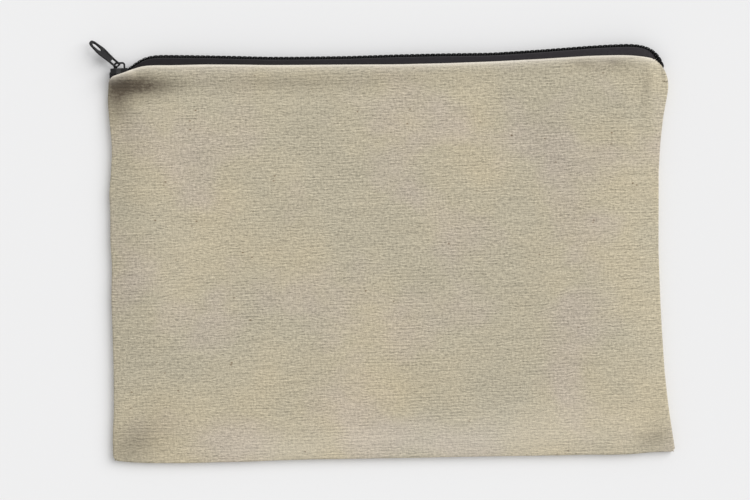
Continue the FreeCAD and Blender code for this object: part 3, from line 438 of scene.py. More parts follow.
def canvas_panel(name, outline, height, sizes, upside):
    """One canvas panel with its four edges folded under, before it gets its thickness."""
    columns = edge_stations(sizes.cells, sizes.fold, PANEL_WIDTH, sizes.allowance)
    rows = edge_stations(int(sizes.cells * ROWS_PER_COLUMN), sizes.fold, PANEL_HEIGHT, sizes.allowance)
    obj, column, row = new_grid(name, len(columns), len(rows))
    across, up = np.array(columns)[column], np.array(rows)[row]
    s, t = across[:, 0], up[:, 0]
    spot = outline.point(s, t)
    x = spot[:, 0] - across[:, 1] * across[:, 3]
    y = spot[:, 1] - up[:, 1] * up[:, 3]
    # the ends of a turned-in edge stay inside the edges beside it
    turned = up[:, 3] != 0
    left, right, low, high = outline.inward(x, y)
    out_left = spot[:, 0] - along(outline.left, t)[:, 0] + across[:, 1] - left
    out_right = along(outline.right, t)[:, 0] - spot[:, 0] + across[:, 1] - right
    tucked = TUCK * sizes.ply * up[:, 2]
    x = x + turned * (out_left * (1 - s) - out_right * s) + tucked * (1 - 2 * s)
    left, right, low, high = outline.inward(x, y)
    radius = sizes.corner
    for beside, sign in ((left, 1), (right, -1)):
        for below, lift in ((low, 1), (high, -1)):
            px, py = np.clip(radius - beside, 0, radius), np.clip(radius - below, 0, radius)
            x = x + sign * px * (1 - np.sqrt(1 - (py / radius) ** 2 / 2))
            y = y + lift * py * (1 - np.sqrt(1 - (px / radius) ** 2 / 2))
    # a folded edge keeps the height of the face beside it
    fold = sizes.fold
    face_x = np.clip(x, along(outline.left, t)[:, 0] + fold, along(outline.right, t)[:, 0] - fold)
    face_y = np.clip(y, along(outline.bottom, s)[:, 1] + fold, along(outline.mouth, s)[:, 1] - fold)
    face = height(outline, face_x, face_y, sizes)
    side_drop = np.abs(face - sizes.hem)
    end_drop = np.where(up[:, 3] > 0, sizes.hem, side_drop)
    turn_side = (1 - np.cos(np.pi * across[:, 2])) / 2
    turn_end = (1 - np.cos(np.pi * up[:, 2])) / 2
    drop = np.maximum(side_drop * turn_side, end_drop * turn_end)
    set_points(obj, np.stack([x, y, face - upside * drop], axis=1))
    # painted highlight along the mouth's fold and painted light in pale patches, then painted shade on the
    # front, kept on the points for the finish
    worn = sum(strength * np.exp(-(high / (width * MM)) ** 2) for strength, width in PAINTED_HIGHLIGHT_BANDS)
    shades = (("worn", worn + stain(x, y, PAINTED_LIGHT_PATCHES)), ("soil", stain(x, y, PAINTED_SHADE_MARKS) * (upside > 0)))
    for label, amount in shades:
        obj.data.attributes.new(label, "FLOAT", "POINT").data.foreach_set("value", amount)
    if upside < 0:
        flip(obj)
    return obj


# how far the back's fold lies below the front's, and its dip under the slider, in millimetres
BACK_LOWER = 0.3
NOTCH_PLACE, NOTCH_DEPTH, NOTCH_WIDTH = -119.5, 2.6, 5.5


class POUCH_OT_canvas(bpy.types.Operator):
    """Front and back canvas panels, turned out with their allowances inside"""

    bl_idname = "pouch.canvas"
    bl_label = "Canvas panels"

    def execute(self, context):
        sizes = context.scene.pouch_sizes
        finish = canvas_finish(context.scene.pouch_colours)
        back_fold = [(x, y - BACK_LOWER - NOTCH_DEPTH * math.exp(-((x - NOTCH_PLACE) / NOTCH_WIDTH) ** 2))
                     for x, y in MOUTH_FOLD]
        panels = (
            ("front_canvas", Outline(), front_height, 1, "front_panel"),
            ("back_canvas", Outline(back_fold), back_height, -1, "back_panel"),
        )
        for name, outline, height, upside, node in panels:
            panel = canvas_panel(name, outline, height, sizes, upside)
            modify(panel, "SOLIDIFY", thickness=sizes.ply, offset=-1, use_even_offset=False)
            # nothing reaches under the table
            spots = get_points(panel)
            spots[:, 2] = np.maximum(spots[:, 2], 0)
            set_points(panel, spots)
            smooth(panel, 60)
            hand_over(panel, "pouch", "canvas", finish, node)
        return {"FINISHED"}


# --- zip ---

SLIDER_SPAN = (-121.6, -119.4)  # where the coils part round the slider's post
PARTING = 0.65  # how far each coil moves out there, in millimetres
PINCH_FROM, PINCH_OVER = 0.945, 0.055  # shares of the zip that run into the far corner
PINCH, PINCH_DROP = 0.5, 0.7  # how much thinner the zip is there, and how far it drops in millimetres


class ZipPath:
    """The line that the closed zip lies on, level with its tapes, from the slider to the far corner."""

    def __init__(self, sizes):
        self.line = smooth_line(ZIP_LINE, passes=30)
        steps = np.linalg.norm(np.diff(self.line, axis=0), axis=1)
        self.length = steps.sum()
        slope = np.gradient(self.line, axis=0)
        self.ahead = slope / np.linalg.norm(slope, axis=1, keepdims=True)
        self.sizes = sizes

    def lay(self, spots):
        """Lay points given as place along the zip, height out of it and distance across it."""
        share = spots[:, 0] / self.length
        base = along(self.line, share)
        ahead = along(self.ahead, share)
        # beyond either end of the line the zip runs straight on
        base = base + ahead * (spots[:, 0] - np.clip(spots[:, 0], 0, self.length))[:, None]
        pinched = ease((share - PINCH_FROM) / PINCH_OVER)
        middle = self.sizes.chain - PINCH_DROP * MM * pinched
        x = base[:, 0] - ahead[:, 1] * spots[:, 1]
        y = base[:, 1] + ahead[:, 0] * spots[:, 1]
        return np.stack([x, y, middle + spots[:, 2] * (1 - PINCH * pinched)], axis=1)

    def lay_coil(self, spots, side):
        """Lay points of one coil, moved out where the slider's post parts it from the other."""
        x = along(self.line, spots[:, 0] / self.length)[:, 0] / MM
        moved = spots.copy()
        moved[:, 2] += side * PARTING * MM * (1 - rise(x, *SLIDER_SPAN))
        return self.lay(moved)


# section of the tape from the coil's edge, round the bend and into the mouth, in millimetres: height
# out, then how far the back tape and the front tape lie from the zip's middle
TAPE_SECTION = [
    (0.2, 1.05, 1.05), (0.2, 1.5, 1.5), (0.2, 1.95, 1.95), (0.04, 2.4, 2.4), (-0.03, 2.86, 2.86),
    (-0.14, 3.05, 3.05), (-0.36, 3.15, 3.15), (-0.8, 3.15, 3.2), (-1.2, 3.12, 3.2), (-1.55, 2.95, 3.2),
    (-1.9, 2.55, 3.2), (-2.2, 2.05, 3.2), (-2.5, 1.7, 3.2), (-2.8, 1.58, 3.2), (-3.1, 1.55, 3.2),
    (-3.4, 1.55, 3.2), (-3.8, 1.55, 2.6), (-4.4, 1.55, 1.7), (-6.0, 1.55, 1.55), (-9.0, 1.55, 1.55),
    (-12.3, 1.55, 1.55),
]
TAPE_COLUMNS = 420
SEWN_FROM, SEWN_OVER = 2.0, 2.5  # depths over which the tape leaves the zip's line for the seam's
SEWN_LEFT, SEWN_RIGHT, SEWN_TOP = -122.8, 123.5, 89.5  # ends and highest line of the sewn part
SEWN_DEPTH = 2.6  # depth in the tape where the sewn part begins
COVER_GAP = 0.2  # clearance between the canvas and the tape under it
COVER_OUT, COVER_OVER = 0.35, 1.1  # how far outside the fold the tape starts to slip under it


class POUCH_OT_tapes(bpy.types.Operator):
    """Woven zip tapes, bent down beside the coil and sewn in under the canvas"""

    bl_idname = "pouch.tapes"
    bl_label = "Zip tapes"

    def execute(self, context):
        sizes = context.scene.pouch_sizes
        path, outline = ZipPath(sizes), Outline()
        finish = tape_finish(context.scene.pouch_colours)
        section = np.array(TAPE_SECTION) * MM
        for side, sign, distance in (("front", 1, 2), ("back", -1, 1)):
            tape, column, row = new_grid("%s_tape" % side, TAPE_COLUMNS, len(section))
            share = column / (TAPE_COLUMNS - 1)
            place = share * path.length
            out, across = section[row, 0], sign * section[row, distance]
            laid = path.lay(np.stack([place, out, across], axis=1))
            # the sewn part lies straight behind the fold
            deep = ease((-out / MM - SEWN_FROM) / SEWN_OVER)
            depth = np.full(len(place), -SEWN_DEPTH * MM)
            anchor = path.lay(np.stack([place, depth, across], axis=1))
            inner_x = (SEWN_LEFT + (SEWN_RIGHT - SEWN_LEFT) * share) * MM
            inner_y = np.minimum(anchor[:, 1], SEWN_TOP * MM) + (out + SEWN_DEPTH * MM)
            laid[:, 0] += deep * (inner_x - laid[:, 0])
            laid[:, 1] += deep * (inner_y - laid[:, 1])
            # the front tape lies under the fold, whose canvas sags here and there
            if side == "front":
                inside = outline.inward(laid[:, 0], laid[:, 1])[3]
                sewn = ease((inside + COVER_OUT * MM) / (COVER_OVER * MM))
                loose = sizes.ply + COVER_GAP * MM
                cover = loose + sewn * (sizes.hem + sizes.tape - loose)
                under = front_height(outline, laid[:, 0], laid[:, 1], sizes) - cover
                laid[:, 2] = np.minimum(laid[:, 2], under)
            set_points(tape, laid)
            if side == "back":
                flip(tape)
            modify(tape, "SOLIDIFY", thickness=sizes.tape, offset=0)
            smooth(tape, 50)
            hand_over(tape, "pouch", "zip_tape", finish, "%s_zip_tape" % side)
        return {"FINISHED"}


# one turn of the coil: share of the pitch along the zip, height over the tape's middle, distance across
COIL_TURN = [
    (0.0, 0.50, 1.72), (0.06, 0.48, 1.2), (0.12, 0.50, 0.6), (0.2, 0.56, 0.1), (0.28, 0.72, -0.2),
    (0.34, 0.95, -0.32), (0.40, 1.18, -0.2), (0.48, 1.34, 0.1), (0.58, 1.40, 0.6), (0.7, 1.41, 1.2),
    (0.82, 1.36, 1.68), (0.92, 0.98, 1.78), (1.0, 0.50, 1.72),
]
COIL_END = 0.6  # bare length at the zip's end
COIL_WELD = 0.03  # points closer than this are joined, from one turn to the next
CORD_POINTS = 360
CORD_HEIGHT, CORD_ACROSS, CORD_SIZE = 0.86, 1.15, 0.68

# one stitch over two turns of the coil: place in turns, height
COIL_STITCH = [(0.0, 1.2), (0.12, 1.6), (0.5, 1.69), (1.0, 1.71), (1.5, 1.69), (1.88, 1.6), (2.0, 1.2)]
COIL_STITCH_START, COIL_STITCH_SHARE = 0.3, 0.92
COIL_STITCH_ACROSS, COIL_THREAD = 1.25, 0.26


class POUCH_OT_coils(bpy.types.Operator):
    """Two nylon coils, one wound turn repeated along each tape, with their cords and stitches"""

    bl_idname = "pouch.coils"
    bl_label = "Coils"

    def execute(self, context):
        sizes = context.scene.pouch_sizes
        colours = context.scene.pouch_colours
        path = ZipPath(sizes)
        nylon, cotton = coil_finish(colours), black_thread_finish(colours)
        turns = int((path.length - COIL_END * MM) / sizes.pitch)
        for side, sign, phase in (("front", 1, 0.0), ("back", -1, 0.5)):
            turn = np.array(COIL_TURN) * np.array([sizes.pitch, MM, sign * MM])
            coil = strand("%s_coil_wire" % side, [turn], sizes.wire)
            drop_caps(coil)
            modify(coil, "ARRAY", count=turns, use_relative_offset=False, use_constant_offset=True,
                   constant_offset_displace=(sizes.pitch, 0, 0), use_merge_vertices=True,
                   merge_threshold=COIL_WELD * MM)
            spots = get_points(coil)
            spots[:, 0] += phase * sizes.pitch
            set_points(coil, path.lay_coil(spots, sign))
            smooth(coil)
            hand_over(coil, "pouch", "coil", nylon, "%s_coil" % side)

            place = np.linspace(0, path.length, CORD_POINTS)
            spots = np.stack([place, np.full(CORD_POINTS, CORD_HEIGHT * MM),
                              np.full(CORD_POINTS, sign * CORD_ACROSS * MM)], axis=1)
            cord = strand("%s_cord" % side, [path.lay_coil(spots, sign)], CORD_SIZE * MM)
            smooth(cord)
            hand_over(cord, "pouch", "filler_cord", cotton, "%s_filler_cord" % side)

            stitch = np.array(COIL_STITCH)
            across = np.full(len(stitch), sign * COIL_STITCH_ACROSS * MM)
            runs = []
            for index in range(int(path.length / (2 * sizes.pitch))):
                start = (2 * index + COIL_STITCH_START) * sizes.pitch
                place = start + stitch[:, 0] * COIL_STITCH_SHARE * sizes.pitch
                runs.append(path.lay_coil(np.stack([place, stitch[:, 1] * MM, across], axis=1), sign))
            stitches = strand("%s_coil_stitches" % side, runs, COIL_THREAD * MM, sides=0)
            smooth(stitches)
            hand_over(stitches, "pouch", "black_thread", cotton, "%s_coil_stitching" % side)
        return {"FINISHED"}


def drop_caps(obj):
    """Remove the closed ends of a strand so that copies of it can be joined end to end."""
    take(obj)
    bpy.ops.object.mode_set(mode="EDIT")
    bpy.ops.mesh.select_mode(type="FACE")
    bpy.ops.object.mode_set(mode="OBJECT")
    for polygon in obj.data.polygons:
        polygon.select = len(polygon.vertices) > 4  # the strand's sides are quads
    bpy.ops.object.mode_set(mode="EDIT")
    bpy.ops.mesh.delete(type="FACE")
    bpy.ops.object.mode_set(mode="OBJECT")


# --- sewing ---

# one lock stitch: share of its length and share of its reach off the middle
LOCK_STITCH = np.array([
    (0.0, 0.0), (0.03, 0.55), (0.1, 0.95), (0.3, 1.0), (0.7, 1.0), (0.9, 0.95), (0.97, 0.55),
])

# one loop of the binding: share of a stitch, millimetres out past the raw edge, share of its reach
BINDING_LOOP = np.array([
    (0.0, -4.0, 1.0), (0.12, -2.0, 1.0), (0.24, -0.2, 1.0), (0.3, 0.12, 0.0), (0.36, -0.2, -1.0),
    (0.5, -2.2, -1.0), (0.6, -4.0, -1.0), (0.72, -2.2, -1.0), (0.84, -0.2, -1.0), (0.9, 0.12, 0.0),
    (0.95, -0.2, 1.0),
])
BINDING_THREAD = 0.8  # the binding's thread as a share of the seam's
SEAM_INSET, MOUTH_EXTRA = 1.8, 0.4  # seams in from a folded edge, and more at the mouth, in millimetres
BACK_LEVEL = 0.95  # height of the back tape's middle, in thicknesses of a folded edge


def repeated(line, shape, sizes):
    """A stitch's shape repeated along a line: x and y of every point, and how many stitches there are."""
    run = run_along(line)
    count = int(run[-1] / sizes.stitch)
    place = (np.arange(count)[:, None] + shape[None, :, 0]).ravel() * sizes.stitch
    return np.interp(place, run, line[:, 0]), np.interp(place, run, line[:, 1]), count


def lock_stitches(name, line, level, reach, sizes):
    """Line of lock stitches: one thread over the cloth and one under it, caught together at a level."""
    x, y, count = repeated(line, LOCK_STITCH, sizes)
    off = reach * np.tile(LOCK_STITCH[:, 1], count)
    runs = [np.stack([x, y, level(x, y) + side * off], axis=1) for side in (1, -1)]
    thread = strand(name, runs, sizes.thread, sides=0)
    smooth(thread)
    return thread


def overlock_stitches(name, line, inward, level, reach, sizes):
    """Binding thread looped round a raw edge, with its reach towards the folded edge."""
    x, y, count = repeated(line, BINDING_LOOP, sizes)
    out = np.tile(BINDING_LOOP[:, 1], count) * MM
    x, y = x + inward[0] * out, y + inward[1] * out
    z = level(x, y) + reach * np.tile(BINDING_LOOP[:, 2], count)
    thread = strand(name, [np.stack([x, y, z], axis=1)], sizes.thread * BINDING_THREAD, sides=0)
    smooth(thread)
    return thread


class POUCH_OT_sewing(bpy.types.Operator):
    """Seam threads inside the folded edges and the overlock that binds the raw edges"""

    bl_idname = "pouch.sewing"
    bl_label = "Sewing"

    def execute(self, context):
        sizes = context.scene.pouch_sizes
        finish = thread_finish(context.scene.pouch_colours)
        outline = Outline()
        reach = sizes.ply + sizes.thread / 2
        inset = SEAM_INSET * MM
        raw = sizes.allowance + sizes.fold

        def seam_level(x, y):
            """Middle of the two plies along a side seam."""
            return np.full(len(x), sizes.hem)

        def front_level(x, y):
            """Middle of the front tape and its turned-in ply."""
            return front_height(outline, x, y, sizes) - sizes.hem

        def back_level(x, y):
            """Middle of the back tape and its turned-in ply."""
            return np.full(len(x), BACK_LEVEL * sizes.hem)

        # each edge, the way in from it, and the points that its seam and its binding run over
        seams = (
            ("left", outline.left, (1, 0), slice(8, -40), slice(30, -60)),
            ("right", outline.right, (-1, 0), slice(8, -40), slice(30, -60)),
            ("bottom", outline.bottom, (0, 1), slice(8, -8), slice(30, -30)),
        )
        for side, edge, inward, sewn, _ in seams:
            line = edge[sewn] + inset * np.array(inward)
            seam = lock_stitches("%s_seam_stitches" % side, line, seam_level, reach, sizes)
            hand_over(seam, "pouch", "sewing_thread", finish, "%s_seam_thread" % side)
        for side, edge, inward, _, bound in seams:
            line = edge[bound] + raw * np.array(inward)
            binding = overlock_stitches("%s_edge_binding" % side, line, inward, seam_level, reach, sizes)
            hand_over(binding, "pouch", "sewing_thread", finish, "%s_overlock" % side)
        # the mouth's seam and binding stop short of the corners
        mouth = outline.mouth[24:-24] - np.array([0, inset + MOUTH_EXTRA * MM])
        raw_mouth = outline.mouth[34:-34] - np.array([0, raw])
        for side, level in (("front", front_level), ("back", back_level)):
            seam = lock_stitches("%s_mouth_stitches" % side, mouth, level, reach, sizes)
            hand_over(seam, "pouch", "sewing_thread", finish, "%s_mouth_thread" % side)
            binding = overlock_stitches("%s_mouth_binding" % side, raw_mouth, (0, -1), level, reach, sizes)
            hand_over(binding, "pouch", "sewing_thread", finish, "%s_mouth_overlock" % side)
        return {"FINISHED"}


# --- finishes ---

# sizes of the weaves and twists, in metres
WEFT, WARP = 0.00151, 0.00092
WEFT_DRIFT, WEFT_WANDER, WARP_DRIFT = 0.0014, 0.0004, 0.0018
TAPE_RIB, TAPE_PICK = 0.00055, 0.0006
COTTON_TWIST, BLACK_TWIST = 0.0004, 0.00035

# relief of each finish, in metres
CANVAS_RELIEF, TAPE_RELIEF, THREAD_RELIEF, NYLON_RELIEF = 0.00017, 0.00006, 0.00003, 0.00001
SLIDER_RELIEF, TAB_RELIEF = 0.00002, 0.00004


class Wire:
    """A shader socket that can stand in sums, differences and products."""

    def __init__(self, paint, socket):
        self.paint = paint
        self.socket = socket

    def maths(self, operation, first, second):
        """Math node on two numbers or sockets."""
        return self.paint.node("ShaderNodeMath", {"operation": operation}, {0: first, 1: second})

    def __add__(self, other):
        return self.maths("ADD", self, other)

    def __radd__(self, other):
        return self.maths("ADD", other, self)

    def __sub__(self, other):
        return self.maths("SUBTRACT", self, other)

    def __rsub__(self, other):
        return self.maths("SUBTRACT", other, self)

    def __mul__(self, other):
        return self.maths("MULTIPLY", self, other)

    def __rmul__(self, other):
        return self.maths("MULTIPLY", other, self)


class Paint:
    """One material's nodes, and the one way in which nodes are added to it."""

    def __init__(self, name, roughness, constants):
        self.material = bpy.data.materials.new(name)
        self.material.use_nodes = True
        self.tree = self.material.node_tree
        self.shader = [n for n in self.tree.nodes if n.type == "BSDF_PRINCIPLED"][0]
        self.shader.inputs["Roughness"].default_value = roughness
        for socket, setting in constants:
            self.shader.inputs[socket].default_value = setting

    def node(self, kind, settings=None, sockets=None, output=0):
        """Add a node: its settings first, then the values or links of its sockets; gives one output."""
        made = self.tree.nodes.new(kind)
        for key, setting in (settings or {}).items():
            if key == "stops":
                ramp = made.color_ramp
                while len(ramp.elements) < len(setting):
                    ramp.elements.new(0.5)
                for element, (place, grey) in zip(ramp.elements, setting):
                    element.position = place
                    element.color = (grey, grey, grey, 1)
            else:
                setattr(made, key, setting)
        for key, given in (sockets or {}).items():
            if isinstance(given, Wire):
                self.tree.links.new(given.socket, made.inputs[key])
            else:
                made.inputs[key].default_value = given
        return Wire(self, made.outputs[output])

    def feed(self, socket, wire):
        """Join a wire to the material's shader."""
        self.tree.links.new(wire.socket, self.shader.inputs[socket])

    def place(self):
        """The piece's own coordinates, in metres."""
        return self.node("ShaderNodeTexCoord", output=3)

    def parts(self, vector):
        """The x, y and z of a vector."""
        split = self.node("ShaderNodeSeparateXYZ", None, {0: vector})
        return [Wire(self, split.socket.node.outputs[index]) for index in range(3)]

    def joined(self, x, y, z):
        """A vector of three numbers or sockets."""
        return self.node("ShaderNodeCombineXYZ", None, {0: x, 1: y, 2: z})

    def noise(self, vector, scale, detail=2.0, roughness=0.5):
        """Noise from 0 to 1."""
        sockets = {"Vector": vector, "Scale": scale, "Detail": detail, "Roughness": roughness}
        return self.node("ShaderNodeTexNoise", None, sockets)

    def attribute(self, name):
        """Number that the piece's points carry."""
        return self.node("ShaderNodeAttribute", {"attribute_name": name}, output=2)

    def sine(self, phase):
        """Sine of a number."""
        return self.node("ShaderNodeMath", {"operation": "SINE"}, {0: phase})

    def ramp(self, value, stops):
        """Number reshaped by a ramp of grey stops."""
        return self.node("ShaderNodeValToRGB", {"stops": stops}, {0: value})

    def mix(self, share, first, second, kind="MIX"):
        """Colour between two colours."""
        def colour(given):
            return given if isinstance(given, Wire) else tuple(given) + (1.0,)
        return self.node("ShaderNodeMix", {"data_type": "RGBA", "blend_type": kind},
                         {0: share, 6: colour(first), 7: colour(second)}, output=2)

    def toned(self, colour, tone):
        """Colour made lighter or darker by a number."""
        return self.mix(1.0, colour, self.joined(tone, tone, tone), "MULTIPLY")

    def bump(self, height, distance):
        """Surface relief whose height is in metres at a value of 1."""
        self.feed("Normal", self.node("ShaderNodeBump", None, {"Distance": distance, "Height": height}))


def shade(colour, factor):
    """A colour made lighter or darker."""
    return tuple(part * factor for part in colour)


def canvas_finish(colours):
    """Natural cotton canvas: thick uneven weft across, finer warp, flecks of seed and soft blotches."""
    paint = Paint("natural_canvas", roughness=0.92, constants=(
        ("Specular IOR Level", 0.18), ("Sheen Weight", 0.08), ("Sheen Roughness", 0.6)))
    here = paint.place()
    x, y, z = paint.parts(here)
    drift = paint.noise(here, 48.0)
    wander = paint.noise(here, 300.0)
    weft_line = (y + drift * WEFT_DRIFT + wander * WEFT_WANDER) * (1 / WEFT)
    weft = paint.sine(weft_line * math.tau)
    warp = paint.sine((x + drift * WARP_DRIFT) * (math.tau / WARP))
    # thick and thin places in the threads
    slub = paint.noise(paint.joined(x * 720.0, weft_line * 1.2, 0.0), 1.0, 3.0, 0.6)
    yarn = (paint.noise(paint.joined(x * 430.0, weft_line * 2.4, 4.0), 1.0, 2.0, 0.6)
            - paint.noise(paint.joined(x * 430.0, weft_line * 2.4 + 0.9, 4.0), 1.0, 2.0, 0.6))
    run = paint.noise(paint.joined(x * 40.0, weft_line * 2.1, 2.0), 1.0, 3.0, 0.65)
    warp_slub = paint.noise(paint.joined(x * 1100.0, y * 380.0, 9.0), 1.0, 2.0, 0.6)
    fuzz = paint.noise(here, 3200.0)
    lively = paint.ramp(paint.noise(here, 75.0), [(0.36, 0.15), (0.66, 1.0)])
    rib = weft * lively
    relief = (rib * (slub * 0.6 + 0.2) + weft * warp * 0.1 + yarn * 1.2 + slub * 0.8 + warp_slub * 1.1
              + fuzz * 0.4)
    paint.bump(relief, CANVAS_RELIEF)
    # soft patches of warmer and cooler cotton
    blotch = paint.noise(paint.joined(x + 0.11, y + 0.05, z), 15.0, 3.0, 0.6)
    patch = paint.ramp(blotch, [(0.42, 0.0), (0.72, 1.0)])
    cool = paint.ramp(paint.noise(paint.joined(x, y, z + 0.5), 30.0), [(0.5, 0.0), (0.7, 1.0)])
    base = paint.mix(patch * 0.8, colours.canvas, colours.canvas_warm)
    base = paint.mix(cool * 0.5, base, colours.canvas_cool)
    tone = (1.0 + rib * 0.05 + (slub - 0.5) * 0.26 + (run - 0.5) * 0.55 + yarn * 0.9
            + (warp_slub - 0.5) * 0.85 + (blotch - 0.5) * 0.34)
    toned = paint.toned(base, tone)
    # bits of seed, here and there
    cell = paint.node("ShaderNodeTexVoronoi", {"feature": "F1"}, {
        "Vector": paint.joined(x, y * 1.6, z), "Scale": 230.0})
    rare = paint.noise(here, 120.0, 0.0)
    fleck = paint.ramp(cell, [(0.07, 1.0), (0.17, 0.0)]) * paint.ramp(rare, [(0.66, 0.0), (0.7, 1.0)])
    flecked = paint.mix(fleck * 0.8, toned, colours.fleck)
    # painted shade darkens the cloth beside the slider, below the mouth's fold and at the bottom corners, and
    # a painted highlight and painted light make the mouth's fold and some patches pale
    soil = paint.attribute("soil") * (0.15 + drift * 0.6 + slub * 1.1)
    with_painted_shade = paint.mix(soil, flecked, colours.soil)
    # painted highlight on the mouth's fold and painted light in pale patches
    paint.feed("Base Color", paint.mix(paint.attribute("worn") * 0.9, with_painted_shade, colours.worn))
    return paint.material


def tape_finish(colours):
    """Fine dark weave with ribs along the tape."""
    paint = Paint("zip_tape_weave", roughness=0.8, constants=(
        ("Specular IOR Level", 0.18), ("Sheen Weight", 0.06), ("Sheen Roughness", 0.5)))
    here = paint.place()
    x, y, z = paint.parts(here)
    ribs = paint.sine((y + z * 0.9) * (math.tau / TAPE_RIB))
    picks = paint.sine(x * (math.tau / TAPE_PICK))
    lint = paint.noise(here, 900.0, 3.0)
    paint.bump(ribs * picks * 0.6 + ribs * 0.5 + lint * 0.6, TAPE_RELIEF)
    # painted shade: the tape is darker towards the slider's end, where the zip twists into shade, and paler
    # towards the far corner
    tone = (0.75 + ribs * 0.12 + lint * 0.5) * (0.92 + x * 2.6)
    paint.feed("Base Color", paint.toned(colours.tape, tone))
    return paint.material


def coil_finish(colours):
    """Black nylon with small scuffs."""
    paint = Paint("nylon_coil", roughness=0.34, constants=(("Specular IOR Level", 0.2),))
    scuff = paint.noise(paint.place(), 1500.0, 3.0)
    paint.feed("Roughness", 0.26 + scuff * 0.22)
    scuffed = paint.ramp(scuff, [(0.55, 0.0), (0.8, 1.0)]) * 0.5
    paint.feed("Base Color", paint.mix(scuffed, colours.coil, shade(colours.coil, 3.0)))
    paint.bump(scuff, NYLON_RELIEF)
    return paint.material


def black_thread_finish(colours):
    """Black thread and cord with twisted fibres."""
    paint = Paint("black_thread", roughness=0.75, constants=(
        ("Specular IOR Level", 0.1), ("Sheen Weight", 0.04)))
    x, y, z = paint.parts(paint.place())
    twist = paint.sine((x + y * 0.7 + z * 0.7) * (math.tau / BLACK_TWIST))
    paint.bump(twist, THREAD_RELIEF)
    paint.feed("Base Color", paint.toned(shade(colours.coil, 1.5), 0.8 + twist * 0.25))
    return paint.material


def thread_finish(colours):
    """Natural cotton thread with twisted fibres."""
    paint = Paint("natural_thread", roughness=0.8, constants=(("Sheen Weight", 0.2),))
    x, y, z = paint.parts(paint.place())
    twist = paint.sine((x + y + z * 0.7) * (math.tau / COTTON_TWIST))
    paint.bump(twist, THREAD_RELIEF)
    paint.feed("Base Color", paint.toned(colours.thread, 0.9 + twist * 0.12))
    return paint.material


def enamel_finish(name, colours, fine):
    """Black enamel with a light orange-peel surface, dulled and chipped here and there."""
    paint = Paint(name, roughness=0.35, constants=(("Specular IOR Level", 0.32),))
    here = paint.place()
    peel = paint.noise(here, 2600.0)
    scuff = paint.noise(here, 700.0, 4.0, 0.65)
    worn = paint.ramp(scuff, [(0.6, 0.0), (0.72, 1.0)])
    paint.feed("Roughness", 0.3 + scuff * 0.3)
    paint.feed("Base Color", paint.mix(worn * 0.7, colours.enamel, shade(colours.enamel, 4.0)))
    paint.bump(peel * 0.6 + scuff * 0.6, fine)
    return paint.material


class POUCH_OT_hardware(bpy.types.Operator):
    """Enamel on the slider and the pull tab"""

    bl_idname = "pouch.hardware"
    bl_label = "Slider and tab"

    def execute(self, context):
        colours = context.scene.pouch_colours
        for node, fine in (("slider_body", SLIDER_RELIEF), ("pull_tab", TAB_RELIEF)):
            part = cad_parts[node]
            part.data.materials.clear()
            part.data.materials.append(enamel_finish("%s_enamel" % node, colours, fine))
        return {"FINISHED"}


# --- stage ---

FLOOR_SIZE = 8  # metres
SKY_STRENGTH = 0.59
SUN_PLACE, SUN_SPREAD, SUN_STRENGTH = (0.70, 0.42, 0.80), 52, 1.88  # the spread is in degrees
LENS, SENSOR = 100, 36  # millimetres
VIEW_MIDDLE, VIEW_WIDTH, VIEW_LEVEL = (-4.9, 3.8), 345, 5  # millimetres
ROLL = 1.8  # degrees that the zip's direction is turned from level in the view


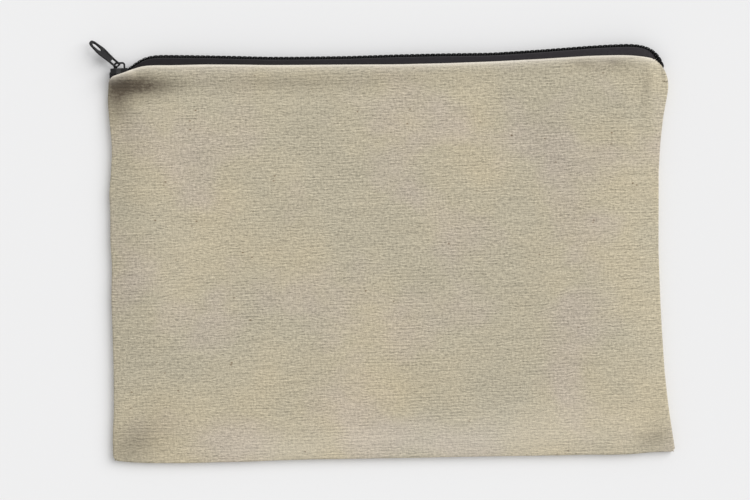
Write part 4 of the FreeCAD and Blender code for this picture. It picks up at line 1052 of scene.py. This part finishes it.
class POUCH_OT_stage(bpy.types.Operator):
    """Pale floor, soft lamps and a camera looking straight down"""

    bl_idname = "pouch.stage"
    bl_label = "Stage"

    def execute(self, context):
        colours = context.scene.pouch_colours
        deselect()
        bpy.ops.mesh.primitive_plane_add(size=FLOOR_SIZE, location=(0, 0, 0))
        floor = bpy.context.object
        floor.name = "floor"
        paint = Paint("pale_floor", roughness=0.9, constants=(("Specular IOR Level", 0.1),))
        grain = paint.noise(paint.place(), 3.0)
        paint.feed("Base Color", paint.toned(colours.floor, 0.995 + (grain - 0.5) * 0.01))
        floor.data.materials.append(paint.material)

        world = bpy.data.worlds.new("studio")
        world.use_nodes = True
        back = world.node_tree.nodes["Background"]
        back.inputs["Color"].default_value = (1, 1, 1, 1)
        back.inputs["Strength"].default_value = SKY_STRENGTH
        context.scene.world = world

        key = bpy.data.lights.new("key", "SUN")
        key.angle = math.radians(SUN_SPREAD)
        key.energy = SUN_STRENGTH
        lamp = bpy.data.objects.new("key", key)
        context.scene.collection.objects.link(lamp)
        lamp.location = SUN_PLACE
        lamp.rotation_euler = lamp.location.to_track_quat("Z", "Y").to_euler()

        eye = bpy.data.cameras.new("camera")
        eye.lens = LENS
        eye.sensor_width = SENSOR
        camera = bpy.data.objects.new("camera", eye)
        context.scene.collection.objects.link(camera)
        distance = VIEW_WIDTH * MM * LENS / SENSOR + VIEW_LEVEL * MM
        camera.location = (VIEW_MIDDLE[0] * MM, VIEW_MIDDLE[1] * MM, distance)
        camera.rotation_euler = (0, 0, math.radians(-ROLL))
        context.scene.camera = camera
        context.scene.view_settings.view_transform = "Standard"
        return {"FINISHED"}


class POUCH_PT_panel(bpy.types.Panel):
    """Sizes, colours and the pieces of the pouch"""

    bl_label = "Zip pouch"
    bl_space_type = "VIEW_3D"
    bl_region_type = "UI"
    bl_category = "Zip Pouch"

    def draw(self, context):
        for group in (context.scene.pouch_sizes, context.scene.pouch_colours):
            for name in group.__annotations__:
                self.layout.prop(group, name)
        for operator in STEPS:
            self.layout.operator(operator.bl_idname)


STEPS = (POUCH_OT_stage, POUCH_OT_canvas, POUCH_OT_tapes, POUCH_OT_coils, POUCH_OT_sewing, POUCH_OT_hardware)
CLASSES = (PouchSizes, PouchColours) + STEPS + (POUCH_PT_panel,)


def register():
    """Add the pouch's classes and settings to Blender."""
    for item in CLASSES:
        bpy.utils.register_class(item)
    bpy.types.Scene.pouch_sizes = PointerProperty(type=PouchSizes)
    bpy.types.Scene.pouch_colours = PointerProperty(type=PouchColours)


def unregister():
    """Take them away again."""
    del bpy.types.Scene.pouch_sizes
    del bpy.types.Scene.pouch_colours
    for item in reversed(CLASSES):
        bpy.utils.unregister_class(item)


def main():
    """Build the pouch."""
    register()
    for operator in STEPS:
        group, action = operator.bl_idname.split(".")
        getattr(getattr(bpy.ops, group), action)()


if __name__ == "__main__":
    main()
